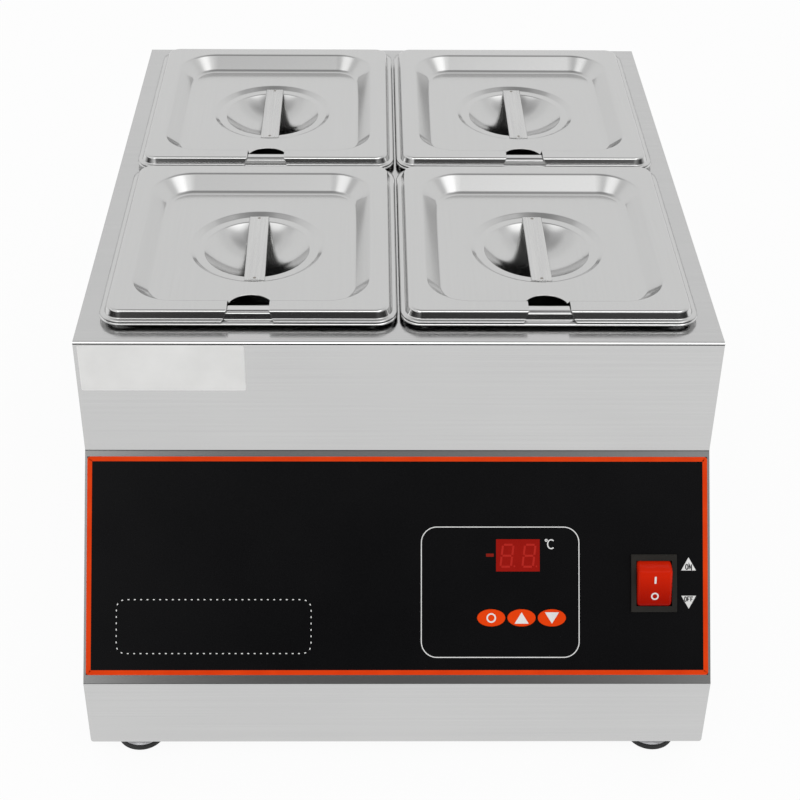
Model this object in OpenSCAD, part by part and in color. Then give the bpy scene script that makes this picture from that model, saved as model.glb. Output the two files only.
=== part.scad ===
// Table-top chocolate melting tank: four lidded pans hang in dry aluminium wells under a folded
// stainless steel case, with a thermostat and a mains switch on its sloping front panel.
// Millimetres, +Z up, the front faces -Y, the origin is under the middle of the whole object.

/* [Pans] */
// Width of a pan over its lip
pan_w = 165.4; // [155:0.2:180]
// Length of a pan over its lip
pan_l = 175.5; // [165:0.5:195]
// Depth of a pan below the top of its rim
pan_h = 100; // [65:1:110]
// Sheet thickness of the pans and lids
dish_t = 0.8; // [0.6:0.1:1]
// Width of the outer lip round a lid
lip_w = 3.5; // [3:0.1:4.5]
// Height of the step from the lip up to the rim
rim_step = 5; // [4:0.5:6]
// Corner radius of the lip
lip_r = 12; // [10:0.5:15]
// Width of the flat rim inside the step of a pan
pan_rim_w = 7.5; // [7:0.1:8]
// Corner radius of a pan's walls at the top
pan_wall_r = 24; // [20:1:30]
// Lean of a pan's walls over their whole depth
pan_draft = 6; // [3:0.5:9]
// Bend radius between the walls and the floor of a pan
pan_floor_r = 8; // [5:0.5:10]
// Gap between neighbouring pans
pan_gap = 1.2; // [1:0.1:6]

/* [Lids] */
// How far a lid's lip stays inside the pan's lip
lid_inset = 0.4; // [0.2:0.1:1]
// Width of the flat border of a lid
lid_border_w = 10; // [9.5:0.1:12]
// Run of the sloping walls of the recess in a lid
recess_run = 9.5; // [6:0.5:10]
// Depth of the recess in a lid
recess_h = 9.3; // [7:0.1:11]
// Corner radius at the top edge of the recess
recess_r = 27; // [22:1:32]
// Diameter of the round step in a lid's floor
ring_d = 80; // [74:1:90]
// Depth of the round step
ring_h = 2; // [1.6:0.1:3]
// Diameter of the finger bowl
bowl_d = 63.5; // [56:0.5:66]
// Depth of the finger bowl
bowl_h = 13; // [10:0.5:16]
// Width of the strap handle
strap_w = 12; // [9:0.5:16]
// Thickness of the strap handle
strap_t = 1.5; // [1:0.1:2]
// Angle that each strap is welded off square: front left, front right, rear left, rear right
strap_turns = [1, 0, 0, 0]; // [-8:0.5:8]
// Width of the ladle notch at the front of a lid
notch_w = 23.4; // [16:0.2:28]
// Length of the ladle notch from the lip
notch_l = 33; // [28:0.2:38]
// How far the round end of the notch bows out
notch_bow = 6; // [3:0.5:8]
// Width of the ladle notch where it meets the lip
notch_mouth = 29; // [24:0.5:36]

/* [Case] */
// Deck left bare beside the pans
side_margin = 11.5; // [10:0.5:30]
// Deck left bare in front of the pans
front_margin = 13; // [8:0.5:25]
// Deck left bare behind the pans
rear_margin = 13; // [12:0.5:40]
// Height of a pan's rim above the deck
pan_rise = 8.4; // [8:0.2:12]
// Height of the upright face under the deck
upper_h = 74.4; // [70:0.2:100]
// How far the sloping panel comes forward
panel_run = 76; // [60:1:90]
// How far the sloping panel drops
panel_drop = 108; // [104:1:140]
// Height of the upright face under the panel
lower_h = 48.2; // [40:0.2:70]
// Sheet thickness of the case
sheet_t = 1.2; // [1:0.1:1.4]
// Outer radius of the bends in the case
bend_r = 1.5; // [1.5:0.1:3]
// Width of the flanges inside the case
return_w = 11; // [9:0.5:12]

/* [Wells] */
// Clearance between a pan and its heating well
well_gap = 1.5; // [1:0.1:3]
// Wall thickness of the aluminium wells
well_t = 1.5; // [1:0.1:2.5]
// Width of the flange that holds a well under the deck
well_flange_w = 9; // [6.5:0.5:9.5]
// Thickness of the heating pads
heater_t = 3; // [2:0.5:5]
// Bare border of the well's floor round a heating pad
heater_inset = 11; // [10.5:0.5:20]

/* [Control panel] */
// Steel left bare beside the black overlay
overlay_side = 1.4; // [1:0.1:8]
// Steel left bare above the overlay
overlay_top = 3.6; // [2:0.1:6]
// Steel left bare below the overlay
overlay_bottom = 5.3; // [3:0.1:9]
// Thickness of the overlay
overlay_t = 0.5; // [0.3:0.1:1]
// Place of the thermostat's middle, right of the panel's middle
control_x = 58; // [40:0.5:70]
// Place of the thermostat's middle, below the panel's upper fold
control_s = 80.2; // [74:0.2:84]
// Width of the display window
display_w = 24.8; // [20:0.2:30]
// Height of the display window
display_h = 18.2; // [14:0.2:20]
// Place of the display, right of the thermostat's middle
display_dx = 10.2; // [-10:0.1:15]
// Place of the display, above the thermostat's middle
display_dy = 20.8; // [16:0.1:22]
// Width of a button
button_w = 15.8; // [12:0.2:15.8]
// Height of a button
button_h = 9.6; // [7:0.2:12]
// Spacing of the buttons
button_pitch = 17.2; // [16.8:0.1:20]
// Place of the middle button, right of the thermostat's middle
button_dx = 12.2; // [-8:0.1:14]
// Place of the buttons, below the thermostat's middle
button_dy = 14.4; // [10:0.2:20]
// How far a button stands above the overlay
button_rise = 0.5; // [0.4:0.1:1]
// Travel of a button
button_travel = 0.4; // [0.2:0.1:0.4]
// Width of the mains switch
switch_w = 25.9; // [24:0.1:28]
// Height of the mains switch
switch_h = 32.5; // [32:0.1:38]
// Distance of the switch's middle from the side of the case
switch_inset = 32.2; // [24:0.1:50]
// Place of the switch's middle, below the panel's upper fold
switch_s = 75; // [40:0.5:80]
// Width of the rocker
rocker_w = 19.6; // [15:0.2:20]
// Height of the rocker in the switch's face
rocker_h = 24.8; // [20:0.2:26]
// Angle of the rocker each way from level
rocker_tilt = 15; // [10:0.5:16]

/* [Feet and rear] */
// Height of the case above the table
foot_h = 10; // [8:0.5:16]
// Diameter of a rubber foot
foot_d = 28; // [22:0.5:34]
// How far the steel cup on a foot stays inside the rubber
cup_inset = 1.2; // [0.8:0.1:3]
// Distance of a foot's middle from the side of the case
foot_inset_x = 27; // [25:0.5:60]
// Distance of a foot's middle from the front and the back of the case
foot_inset_y = 16.5; // [16.5:0.5:60]
// Bore of the cord gland
gland_bore = 8; // [6:0.1:10]
// Distance of the gland from the side of the case
gland_inset = 60; // [40:1:120]
// Height of the gland above the bottom of the case
gland_rise = 45; // [30:1:80]

/* [Hidden] */
$fn = 64;
// Overrun of every cut past the face it breaks
over = 1;
// Free play between pieces that slip into each other
play = 0.3;
// Clearance of a thread in its nut
thread_gap = 0.1;
// Straight pieces that round each bend
bend_steps = 3;
// Straight pieces that round a quarter of an outline
arc_steps = 8;

TANKS = ["front_left", "front_right", "rear_left", "rear_right"];

// Cord gland: hexagon, dome nut and locknut
gland_thread_d = 15.2;
gland_hex_d = 24;
gland_hex_h = 5;
gland_dome_d = 19;
gland_dome_tip_d = 13;
gland_dome_h = 11;
gland_thread_l = 9;
gland_nut_h = 4;
gland_out = gland_hex_h + gland_dome_h;

// Case outline, worked out from the pans and the bare deck round them
body_w = 2 * pan_w + pan_gap + 2 * side_margin;
deck_d = 2 * pan_l + pan_gap + front_margin + rear_margin;
body_d = deck_d + panel_run;
body_h = upper_h + panel_drop + lower_h;
deck_z = foot_h + body_h;
fold1_z = deck_z - upper_h;
fold2_z = fold1_z - panel_drop;
front_y = -(body_d + gland_out) / 2;
deck_front_y = front_y + panel_run;
back_y = front_y + body_d;
panel_lean = atan(panel_run / panel_drop);
panel_len = norm([panel_run, panel_drop]);
case_path = [
    [back_y, deck_z],
    [deck_front_y, deck_z],
    [deck_front_y, fold1_z],
    [front_y, fold2_z],
    [front_y, foot_h],
    [front_y + return_w, foot_h]];
case_inner = offset_path(case_path, sheet_t);

// Rim of a pan, measured inwards from its lip
skirt_draft = 1;
skirt_bend = 1.4;
foot_bend = 0.8;
skirt_in = lip_w + skirt_draft;
pan_lip_w = lid_inset + lip_w + dish_t + play;
pan_skirt_in = pan_lip_w + skirt_draft;
rim_z = deck_z + pan_rise;
nest_gap = 0.4;
pan_wall_in = pan_skirt_in + pan_rim_w;
pan_edge_bend = 1.6;
pan_edge_in = pan_edge_bend + play;
pan_floor_in = pan_draft + pan_floor_r;

// Collar round each opening in the deck, under the flat rim of the pan
collar_gap = 0.8;
collar_t = 1;
collar_r = 14;
collar_root = 1.6;
collar_in = pan_skirt_in + dish_t + collar_gap;
opening_in = collar_in + collar_t;
opening_r = collar_r - collar_t;
collar_h = pan_rise - dish_t;

// Lid, seated on the pan's rim; its sizes are measured from its own lip
lid_w = pan_w - 2 * lid_inset;
lid_l = pan_l - 2 * lid_inset;
recess_in = skirt_in + lid_border_w;
recess_bend = 1.6;
recess_foot_bend = 2.5;
recess_plate_in = recess_bend + play;
recess_floor_in = recess_run + recess_foot_bend;
lid_floor_z = dish_t - recess_h;
ring_wall_run = 1.2;
bowl_edge_run = 1.5;
strap_gap = 0.4;
weld_d = 3;
weld_rise = 0.25;
weld_in = 5;

// Wells under the deck
well_in = pan_wall_in - dish_t - well_gap;
well_r = pan_wall_r + dish_t + well_gap;
well_top_z = deck_z - sheet_t;
pan_floor_gap = 0.5;
well_floor_z = rim_z - pan_h - pan_floor_gap;
well_depth = well_top_z - well_floor_z;
well_draft = pan_draft * well_depth / pan_h;
well_bend = 3;
well_floor_in = well_draft + pan_floor_r;
well_under_z = well_floor_z - well_t;
heater_r = 10;
heater_hole_d = 30;
heater_z = well_under_z - heater_t;

// Bimetal cutout in the middle of each heating pad
cutout_flange_d = 24;
cutout_flange_t = 1;
cutout_d = 16;
cutout_h = 9;
blade_w = 6.3;
blade_t = 0.8;
blade_l = 10;
blade_gap = 8;

// Temperature probe, clipped under the floor of the front right well
probe_d = 6;
probe_l = 40;
probe_inset = 5.5;
clip_wall = 1.5;
clip_l = 12;

// Flanges, bottom plate and their screws
base_inset = sheet_t + bend_r + play;
base_z = foot_h + sheet_t;
screw_d = 3.6;
screw_hole_d = screw_d + 2 * play;
screw_head_d = 7;
screw_head_h = 2;
screw_end = 3;
corner_r = 3;
flange_end = return_w + play;
back_rows = 4;
back_screw_in = return_w / 2 + sheet_t / 2;
back_screw_low = 30;
back_screw_high = 30;
base_rows = 4;
base_screw_end = 60;

// Ventilation slots in the back and in the bottom
vent_w = 4;
vent_l = 46;
vent_pitch = 11;
vent_count = 9;
vent_rise = 110;
base_vent_rows = 3;
base_vent_pitch = 70;

// Foot: rubber ring bonded under a steel cup, held by a screw from below
puck_draft = 0.8;
puck_round = 1;
foot_screw_d = 5;
foot_hole_d = foot_screw_d + 2 * play;
foot_head_d = 9.5;
foot_head_h = 3;
foot_recess_d = foot_head_d + 2 * play;
foot_recess_h = foot_head_h + play;
puck_h = foot_recess_h;
cup_r = foot_d / 2 - cup_inset;
cup_lip = 0.8;
cup_h = 3.1;
cup_slope = 3.3;
cup_top = 0.4;
foot_neck_d = 8.4;
foot_nut_d = 9.2;
foot_nut_h = 4;
foot_nut_end = 2;

// Thermostat behind the panel
board_t = 1.6;
board_w = 88;
board_h = 70;
standoff_l = 12;
standoff_d = 6;
standoff_inset = 6;
board_screw_d = 3;
board_hole_d = board_screw_d + 2 * play;
board_head_d = 5.6;
board_head_h = 2;
display_body_h = 8;
display_rim = 1;
pin_d = 0.8;
pin_count = 5;
pin_pitch = 2.54;
pin_row_inset = 2;
tact_w = 6;
tact_h = 4;
tact_stem_d = 3.5;
tact_stem_h = 1;
button_gap = 0.2;
button_hold_w = 0.25;
button_hold_h = 1;
button_flange_t = 1;
button_stem_d = 4;
relay_w = 19;
relay_l = 15.5;
relay_h = 15;
relay_dx = -26;
relay_dy = 18;
core_w = 34;
core_l = 28;
core_h = 14;
coil_w = 22;
coil_l = 38;
coil_h = 10;
core_lift = (core_h - coil_h) / 2;
transformer_dx = -18;
transformer_dy = -10;
terminal_w = 30;
terminal_l = 10;
terminal_h = 12;
terminal_ways = 5;
terminal_screw_d = 4;
terminal_screw_deep = 2;
terminal_dx = 15;
terminal_dy = -22;
terminal_step_share = 0.5;

// Mains switch
bezel_t = 2;
bezel_lip = 1.45;
bezel_draft = 0.8;
switch_body_w = switch_w - 2 * bezel_lip;
switch_body_h = switch_h - 2 * bezel_lip;
switch_deep = 22;
rocker_deep = 6;
rocker_rise = 0.6;
rocker_under = 3;
rocker_gap = 0.35;
trunnion_d = 3;
trunnion_l = 0.9;
rocker_r = norm([rocker_h / 2, rocker_deep]);
rocker_end_y = sqrt(rocker_r * rocker_r - (rocker_deep + rocker_rise) * (rocker_deep + rocker_rise));
rocker_face = rocker_end_y * sin(rocker_tilt) + (rocker_deep + rocker_rise) * cos(rocker_tilt);
rocker_pivot = overlay_t + bezel_t - rocker_deep;
switch_x = body_w / 2 - switch_inset;
switch_blade_x_share = 0.28;
switch_blade_y_share = 0.3;

// Paths and outlines

function unit(v) = v / norm(v);
function left_of(v) = [-v.y, v.x];
function turned(v, a) = [v.x * cos(a) - v.y * sin(a), v.x * sin(a) + v.y * cos(a)];
function reversed(list) = [for (i = [len(list) - 1:-1:0]) list[i]];

// Path moved to its left by t, with its corners kept sharp
function offset_path(p, t) = [
    for (i = [0:len(p) - 1])
        let (
            a = left_of(unit(i == 0 ? p[1] - p[0] : p[i] - p[i - 1])),
            b = left_of(unit(i == len(p) - 1 ? p[i] - p[i - 1] : p[i + 1] - p[i])))
        p[i] + (a + b) * t / (1 + a * b)];

// Arc of radius r that rounds the corner c between p and q
function bend(p, c, q, r) =
    let (
        a = unit(c - p),
        b = unit(q - c),
        side = sign(cross(a, b)),
        turn = acos(a * b),
        start = c - a * r * tan(turn / 2),
        middle = start + left_of(a) * r * side)
    [for (i = [0:bend_steps]) middle + turned(start - middle, side * turn * i / bend_steps)];

// Path with each of its inner corners rounded by its own radius
function rounded(p, radii) = concat(
    [p[0]],
    [for (i = [1:len(p) - 2]) each bend(p[i - 1], p[i], p[i + 1], radii[i - 1])],
    [p[len(p) - 1]]);

function corner_side(p, i) = sign(cross(p[i] - p[i - 1], p[i + 1] - p[i]));

// Section of a sheet of thickness t that lies on the left of a path bent to the given radii
function sheet_section(p, radii, t) = concat(
    rounded(p, radii),
    reversed(rounded(
        offset_path(p, t),
        [for (i = [1:len(p) - 2]) radii[i - 1] - t * corner_side(p, i)])));

// Slot with round ends, l long and w wide
function stadium(l, w) = [
    for (end = [0, 1])
        for (i = [0:arc_steps])
            let (a = end * 180 - 90 + 180 * i / arc_steps)
            [(l - w) / 2 * (1 - 2 * end) + w / 2 * cos(a), w / 2 * sin(a)]];

function ellipse(w, h) = [
    for (i = [0:4 * arc_steps - 1])
        let (a = 90 * i / arc_steps)
        [w / 2 * cos(a), h / 2 * sin(a)]];

// Outline of the ladle notch, from its round end forwards to its mouth past the lip
notch_r = (notch_w * notch_w / 4 + notch_bow * notch_bow) / (2 * notch_bow);
notch_half = asin(notch_w / 2 / notch_r);
notch_outline = concat(
    [for (i = [-arc_steps:arc_steps])
        let (a = notch_half * i / arc_steps)
        [-notch_r * sin(a), notch_l - notch_r + notch_r * cos(a)]],
    [[-notch_w / 2, skirt_in], [-notch_mouth / 2, lip_w / 2], [-notch_mouth / 2, -over]],
    [[notch_mouth / 2, -over], [notch_mouth / 2, lip_w / 2], [notch_w / 2, skirt_in]]);

// Building blocks

// Child section in the Y-Z plane carried along X
module along_x(x, length) {
    translate([x, 0, 0]) rotate([90, 0, 90]) linear_extrude(length) children();
}

// Block with upright round corners, standing on z = 0
module slab(w, l, r, h) {
    translate([-w / 2, r - l / 2, 0]) cube([w, l - 2 * r, h]);
    for (s = [-1, 1]) {
        translate([r - w / 2, s < 0 ? -l / 2 : l / 2 - r, 0]) cube([w - 2 * r, r, h]);
        for (q = [-1, 1])
            translate([q * (w / 2 - r), s * (l / 2 - r), 0])
                rotate([0, 0, s > 0 ? (q > 0 ? 0 : 90) : (q > 0 ? 270 : 180)])
                    rotate_extrude(angle = 90) square([r, h]);
    }
}

// Section carried round a rounded rectangle: x of a point is its offset outwards, y its height
module swept_ring(w, l, r, section) {
    corner = [for (p = section) [p.x + r, p.y]];
    for (i = [0:3]) {
        wide = i % 2 == 0 ? w : l;
        long = i % 2 == 0 ? l : w;
        rotate([0, 0, 90 * i]) {
            translate([wide / 2 - r, long / 2 - r, 0]) rotate_extrude(angle = 90) polygon(corner);
            translate([wide / 2 - r, long / 2 - r, 0]) rotate([90, 0, 0])
                linear_extrude(long - 2 * r) polygon(corner);
        }
    }
}

module disc(d, h, z = 0) {
    translate([0, 0, z]) cylinder(d = d, h = h);
}

module tube(d, bore, h) {
    difference() {
        cylinder(d = d, h = h);
        disc(bore, h + 2 * over, -over);
    }
}

// Screw with a flat round head, its seat at z = 0 and its shank running up
module screw(d, length, head_d, head_h) {
    disc(head_d, head_h, -head_h);
    cylinder(d = d, h = length);
}

// Places

function tank_x(i) = (i % 2 == 0 ? -1 : 1) * (pan_w + pan_gap) / 2;
function tank_y(i) = deck_front_y + front_margin + pan_l / 2 + (i < 2 ? 0 : pan_l + pan_gap);

module at_tank(i, z) {
    translate([tank_x(i), tank_y(i), z]) children();
}

// Point on the sloping panel, s below its upper fold: +Y runs up the slope and +Z out of it
module on_panel(x, s) {
    translate([x, deck_front_y, fold1_z]) rotate([90 - panel_lean, 0, 0]) translate([0, -s, 0]) children();
}

// Place on the control board, measured from the middle of the thermostat
module on_board(dx, dy) {
    on_panel(control_x + dx, control_s - dy) translate([0, 0, -sheet_t - standoff_l]) children();
}

module at_display() {
    on_panel(control_x + display_dx, control_s - display_dy) children();
}

module at_button(k) {
    on_panel(control_x + button_dx + k * button_pitch, control_s + button_dy) children();
}

module at_switch() {
    on_panel(switch_x, switch_s) children();
}

module at_gland() {
    translate([body_w / 2 - gland_inset, back_y, foot_h + gland_rise]) rotate([-90, 0, 0]) children();
}

module at_feet() {
    for (i = [0:3]) at_foot(i) children();
}

module at_foot(i) {
    translate([
        (i % 2 == 0 ? -1 : 1) * (body_w / 2 - foot_inset_x),
        i < 2 ? front_y + foot_inset_y : back_y - foot_inset_y,
        0]) children();
}

function row_place(low, high, i, count) = low + (high - low) * i / (count - 1);

module at_back_screws() {
    for (s = [-1, 1])
        for (i = [0:back_rows - 1])
            translate([
                s * (body_w / 2 - back_screw_in),
                back_y,
                row_place(foot_h + back_screw_low, deck_z - back_screw_high, i, back_rows)])
                rotate([90, 0, 0]) children();
}

module at_base_screws() {
    for (s = [-1, 1])
        for (i = [0:base_rows - 1])
            translate([
                s * (body_w / 2 - back_screw_in),
                row_place(front_y + base_screw_end, back_y - base_screw_end, i, base_rows),
                foot_h]) children();
}

// Case

// Upturned collar with a small fillet at its root
module collar(i) {
    at_tank(i, deck_z)
        swept_ring(
            pan_w - 2 * collar_in, pan_l - 2 * collar_in, collar_r,
            [[-collar_t, -sheet_t], [collar_root, -sheet_t], [collar_root, 0], [0, collar_root],
             [0, collar_h], [-collar_t, collar_h]]);
}

module deck_cut(i) {
    at_tank(i, deck_z - sheet_t - over)
        slab(
            pan_w - 2 * collar_in + 2 * collar_root, pan_l - 2 * collar_in + 2 * collar_root,
            collar_r + collar_root, sheet_t + 2 * over);
}

module button_hole(k, h) {
    at_button(k) translate([0, 0, -sheet_t - over])
        linear_extrude(h) polygon(ellipse(button_w + 2 * button_gap, button_h + 2 * button_gap));
}

module display_hole(h) {
    at_display() translate([-display_w / 2, -display_h / 2, -sheet_t - over]) cube([display_w, display_h, h]);
}

module switch_hole(h) {
    at_switch() translate([-switch_body_w / 2 - play, -switch_body_h / 2 - play, -sheet_t - over])
        cube([switch_body_w + 2 * play, switch_body_h + 2 * play, h]);
}

// The cut-outs that the panel and its overlay share
module panel_cuts() {
    high = sheet_t + overlay_t + 2 * over;
    display_hole(high);
    switch_hole(high);
    for (k = [-1:1]) button_hole(k, high);
}

// Lower corner of the front face, outside its rounding
corner_outline = concat([[0, 0]], [for (i = [0:arc_steps])
    let (a = 180 + 90 * i / arc_steps)
    [corner_r + corner_r * cos(a), corner_r + corner_r * sin(a)]]);

module lower_corner(s) {
    translate([s * body_w / 2, front_y - over, foot_h]) mirror([s > 0 ? 1 : 0, 0, 0])
        translate([0, return_w + 2 * over, 0]) rotate([90, 0, 0]) linear_extrude(return_w + 2 * over)
            polygon(corner_outline);
}

// Room for the side's flange behind the front face
module return_end(s) {
    translate([s > 0 ? body_w / 2 - sheet_t : -body_w / 2 - over, front_y + sheet_t, foot_h - over])
        cube([sheet_t + over, return_w + over, over + bend_r]);
}

module case_wrap() {
    color("silver") {
        difference() {
            along_x(-body_w / 2, body_w)
                polygon(sheet_section(case_path, [for (i = [1:4]) bend_r], sheet_t));
            for (i = [0:3]) deck_cut(i);
            panel_cuts();
            for (s = [-1, 1]) {
                return_end(s);
                lower_corner(s);
            }
        }
        for (i = [0:3]) collar(i);
    }
}

// Right side: a wall with a flange under it, trimmed to the inside of the wrap
side_section = sheet_section(
    [[body_w / 2 - return_w, foot_h], [body_w / 2, foot_h], [body_w / 2, deck_z]], [corner_r], sheet_t);
side_outline = concat(
    [[back_y, foot_h - over]],
    rounded(
        [[back_y, deck_z - sheet_t], case_inner[1], case_inner[2], case_inner[3],
         [case_inner[3].x, foot_h - over]],
        [bend_r - sheet_t, bend_r + sheet_t, bend_r - sheet_t]));

module side_wall() {
    difference() {
        intersection() {
            translate([0, back_y, 0]) rotate([90, 0, 0]) linear_extrude(body_d) polygon(side_section);
            along_x(body_w / 2 - return_w - over, return_w + 2 * over) polygon(side_outline);
        }
        for (y = [front_y - over, back_y - flange_end])
            translate([body_w / 2 - return_w - over, y, foot_h - over])
                cube([return_w + over - sheet_t, flange_end + over, over + corner_r]);
        at_base_screws() disc(screw_hole_d, sheet_t + 2 * over, -over);
    }
    difference() {
        translate([body_w / 2 - return_w, back_y - 2 * sheet_t, foot_h + flange_end])
            cube([return_w - sheet_t, sheet_t, body_h - 2 * flange_end]);
        at_back_screws() disc(screw_hole_d, 2 * sheet_t + over);
    }
}

module side_left() {
    color("silver") mirror([1, 0, 0]) side_wall();
}

module side_right() {
    color("silver") side_wall();
}

module vent(l) {
    linear_extrude(sheet_t + 2 * over) polygon(stadium(l, vent_w));
}

module back_panel() {
    width = body_w - 2 * sheet_t;
    color("silver") difference() {
        along_x(-width / 2, width)
            polygon(sheet_section(
                [[back_y - return_w, foot_h], [back_y, foot_h], [back_y, deck_z - sheet_t],
                 [back_y - return_w, deck_z - sheet_t]],
                [bend_r, bend_r], sheet_t));
        for (i = [0:vent_count - 1])
            translate([(i - (vent_count - 1) / 2) * vent_pitch, back_y + over, foot_h + vent_rise])
                rotate([90, 90, 0]) vent(vent_l);
        at_gland() disc(gland_thread_d + 2 * play, sheet_t + 2 * over, -sheet_t - over);
        at_back_screws() disc(screw_hole_d, sheet_t + 2 * over, -over);
    }
}

module base_plate() {
    color("gainsboro") difference() {
        translate([base_inset - body_w / 2, front_y + base_inset, base_z])
            cube([body_w - 2 * base_inset, body_d - 2 * base_inset, sheet_t]);
        for (i = [0:base_vent_rows - 1])
            for (k = [0:vent_count - 1])
                translate([
                    (k - (vent_count - 1) / 2) * vent_pitch,
                    (i - (base_vent_rows - 1) / 2) * base_vent_pitch,
                    base_z - over])
                    rotate([0, 0, 90]) vent(vent_l);
        at_base_screws() disc(screw_hole_d, 2 * sheet_t + 2 * over, -over);
        at_feet() disc(foot_hole_d, sheet_t + 2 * over, base_z - over);
    }
}

module back_screws() {
    color("dimgray") at_back_screws() screw(screw_d, 2 * sheet_t + screw_end, screw_head_d, screw_head_h);
}

module base_screws() {
    color("dimgray") at_base_screws() screw(screw_d, 2 * sheet_t + screw_end, screw_head_d, screw_head_h);
}

// Pans and lids

// Lip, step and outer part of the flat rim that a pan and its lid share
function rim_section(low, lip) = sheet_section(
    [[0, low], [-lip, low], [-lip - skirt_draft, 0], [-lip - skirt_draft - skirt_bend, 0]],
    [foot_bend, skirt_bend], dish_t);

module pan(i) {
    wall_w = pan_w - 2 * pan_wall_in;
    wall_l = pan_l - 2 * pan_wall_in;
    floor_z = dish_t - pan_h;
    plate_in = pan_skirt_in + skirt_bend;
    color("lightgray") at_tank(i, rim_z) {
        swept_ring(pan_w, pan_l, lip_r, rim_section(-rim_step - nest_gap, pan_lip_w));
        translate([0, 0, -dish_t]) difference() {
            slab(pan_w - 2 * plate_in, pan_l - 2 * plate_in, lip_r - plate_in, dish_t);
            translate([0, 0, -over])
                slab(
                    wall_w + 2 * pan_edge_in, wall_l + 2 * pan_edge_in, pan_wall_r + pan_edge_in,
                    dish_t + 2 * over);
        }
        swept_ring(
            wall_w, wall_l, pan_wall_r,
            sheet_section(
                [[pan_edge_in, 0], [0, 0], [-pan_draft, floor_z], [-pan_floor_in, floor_z]],
                [pan_edge_bend, pan_floor_r], dish_t));
        translate([0, 0, -pan_h])
            slab(wall_w - 2 * pan_floor_in, wall_l - 2 * pan_floor_in, pan_wall_r - pan_floor_in, dish_t);
    }
}

// Round step, flat ring and finger bowl, as a sheet with its upper face at the lid's floor
bowl_section = let (
    ring_r = ring_d / 2,
    edge_r = bowl_d / 2,
    low = -ring_h - bowl_h,
    sphere_r = (edge_r * edge_r + bowl_h * bowl_h) / (2 * bowl_h),
    half = asin(edge_r / sphere_r),
    top = concat(
        [[ring_r, 0], [ring_r - ring_wall_run, -ring_h]],
        [for (i = [0:arc_steps])
            let (a = half * (1 - i / arc_steps))
            [sphere_r * sin(a), low + sphere_r * (1 - cos(a))]]))
    concat(top, reversed([for (p = top) [p.x, p.y - dish_t]]));

module lid_sheet() {
    recess_w = lid_w - 2 * recess_in;
    recess_l = lid_l - 2 * recess_in;
    floor_w = recess_w - 2 * recess_floor_in;
    floor_l = recess_l - 2 * recess_floor_in;
    plate_in = skirt_in + skirt_bend;
    translate([0, 0, dish_t]) swept_ring(lid_w, lid_l, lip_r, rim_section(-rim_step, lip_w));
    difference() {
        slab(lid_w - 2 * plate_in, lid_l - 2 * plate_in, lip_r - plate_in, dish_t);
        translate([0, 0, -over])
            slab(
                recess_w + 2 * recess_plate_in, recess_l + 2 * recess_plate_in, recess_r + recess_plate_in,
                dish_t + 2 * over);
    }
    translate([0, 0, dish_t]) swept_ring(
        recess_w, recess_l, recess_r,
        sheet_section(
            [[recess_plate_in, 0], [0, 0], [-recess_run, -recess_h], [-recess_floor_in, -recess_h]],
            [recess_bend, recess_foot_bend], dish_t));
    translate([0, 0, lid_floor_z]) {
        translate([0, 0, -dish_t]) difference() {
            slab(floor_w, floor_l, recess_r - recess_floor_in, dish_t);
            disc(ring_d, dish_t + 2 * over, -over);
        }
        rotate_extrude() polygon(bowl_section);
    }
}

module lid(i) {
    color("whitesmoke") at_tank(i, rim_z) difference() {
        lid_sheet();
        translate([0, -lid_l / 2, -recess_h - over])
            linear_extrude(recess_h + dish_t + 2 * over) polygon(notch_outline);
    }
}

module lid_handle(i) {
    ring_floor_z = lid_floor_z - ring_h;
    span = ring_d - 2 * ring_wall_run - 2 * strap_gap;
    color("lightgray") at_tank(i, rim_z + ring_floor_z) rotate([0, 0, strap_turns[i]]) {
        intersection() {
            translate([-strap_w / 2, -span / 2, 0]) cube([strap_w, span, strap_t]);
            cylinder(d = span, h = strap_t);
        }
        for (s = [-1, 1])
            translate([0, s * (span / 2 - weld_in), strap_t]) cylinder(d = weld_d, h = weld_rise);
    }
}

// Heating

module well(i) {
    wall_w = pan_w - 2 * well_in;
    wall_l = pan_l - 2 * well_in;
    flange_in = well_bend + play;
    color("darkgray") at_tank(i, well_top_z) {
        translate([0, 0, -well_t]) difference() {
            slab(
                wall_w + 2 * well_flange_w, wall_l + 2 * well_flange_w, well_r + well_flange_w, well_t);
            translate([0, 0, -over])
                slab(wall_w + 2 * flange_in, wall_l + 2 * flange_in, well_r + flange_in, well_t + 2 * over);
        }
        swept_ring(
            wall_w, wall_l, well_r,
            sheet_section(
                [[flange_in, 0], [0, 0], [-well_draft, -well_depth], [-well_floor_in, -well_depth]],
                [well_bend, pan_floor_r], well_t));
        translate([0, 0, -well_depth - well_t])
            slab(wall_w - 2 * well_floor_in, wall_l - 2 * well_floor_in, well_r - well_floor_in, well_t);
    }
}

heater_w = pan_w - 2 * well_in - 2 * well_floor_in - 2 * heater_inset;
heater_l = pan_l - 2 * well_in - 2 * well_floor_in - 2 * heater_inset;

module heater(i) {
    color("orangered") at_tank(i, heater_z) difference() {
        slab(heater_w, heater_l, heater_r, heater_t);
        disc(heater_hole_d, heater_t + 2 * over, -over);
    }
}

module blade(l) {
    translate([-blade_w / 2, -blade_t / 2, 0]) cube([blade_w, blade_t, l]);
}

module thermal_cutouts() {
    color("tan") for (i = [0:3]) at_tank(i, well_under_z) {
        disc(cutout_flange_d, cutout_flange_t, -cutout_flange_t);
        disc(cutout_d, cutout_h, -cutout_h);
        for (s = [-1, 1]) translate([0, s * blade_gap / 2, -cutout_h - blade_l]) blade(blade_l);
    }
}

module at_probe() {
    at_tank(1, well_under_z) translate([0, heater_l / 2 + probe_inset, -probe_d / 2]) children();
}

module temperature_probe() {
    color("silver") at_probe() translate([-probe_l / 2, 0, 0]) rotate([0, 90, 0])
        cylinder(d = probe_d, h = probe_l);
}

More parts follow.
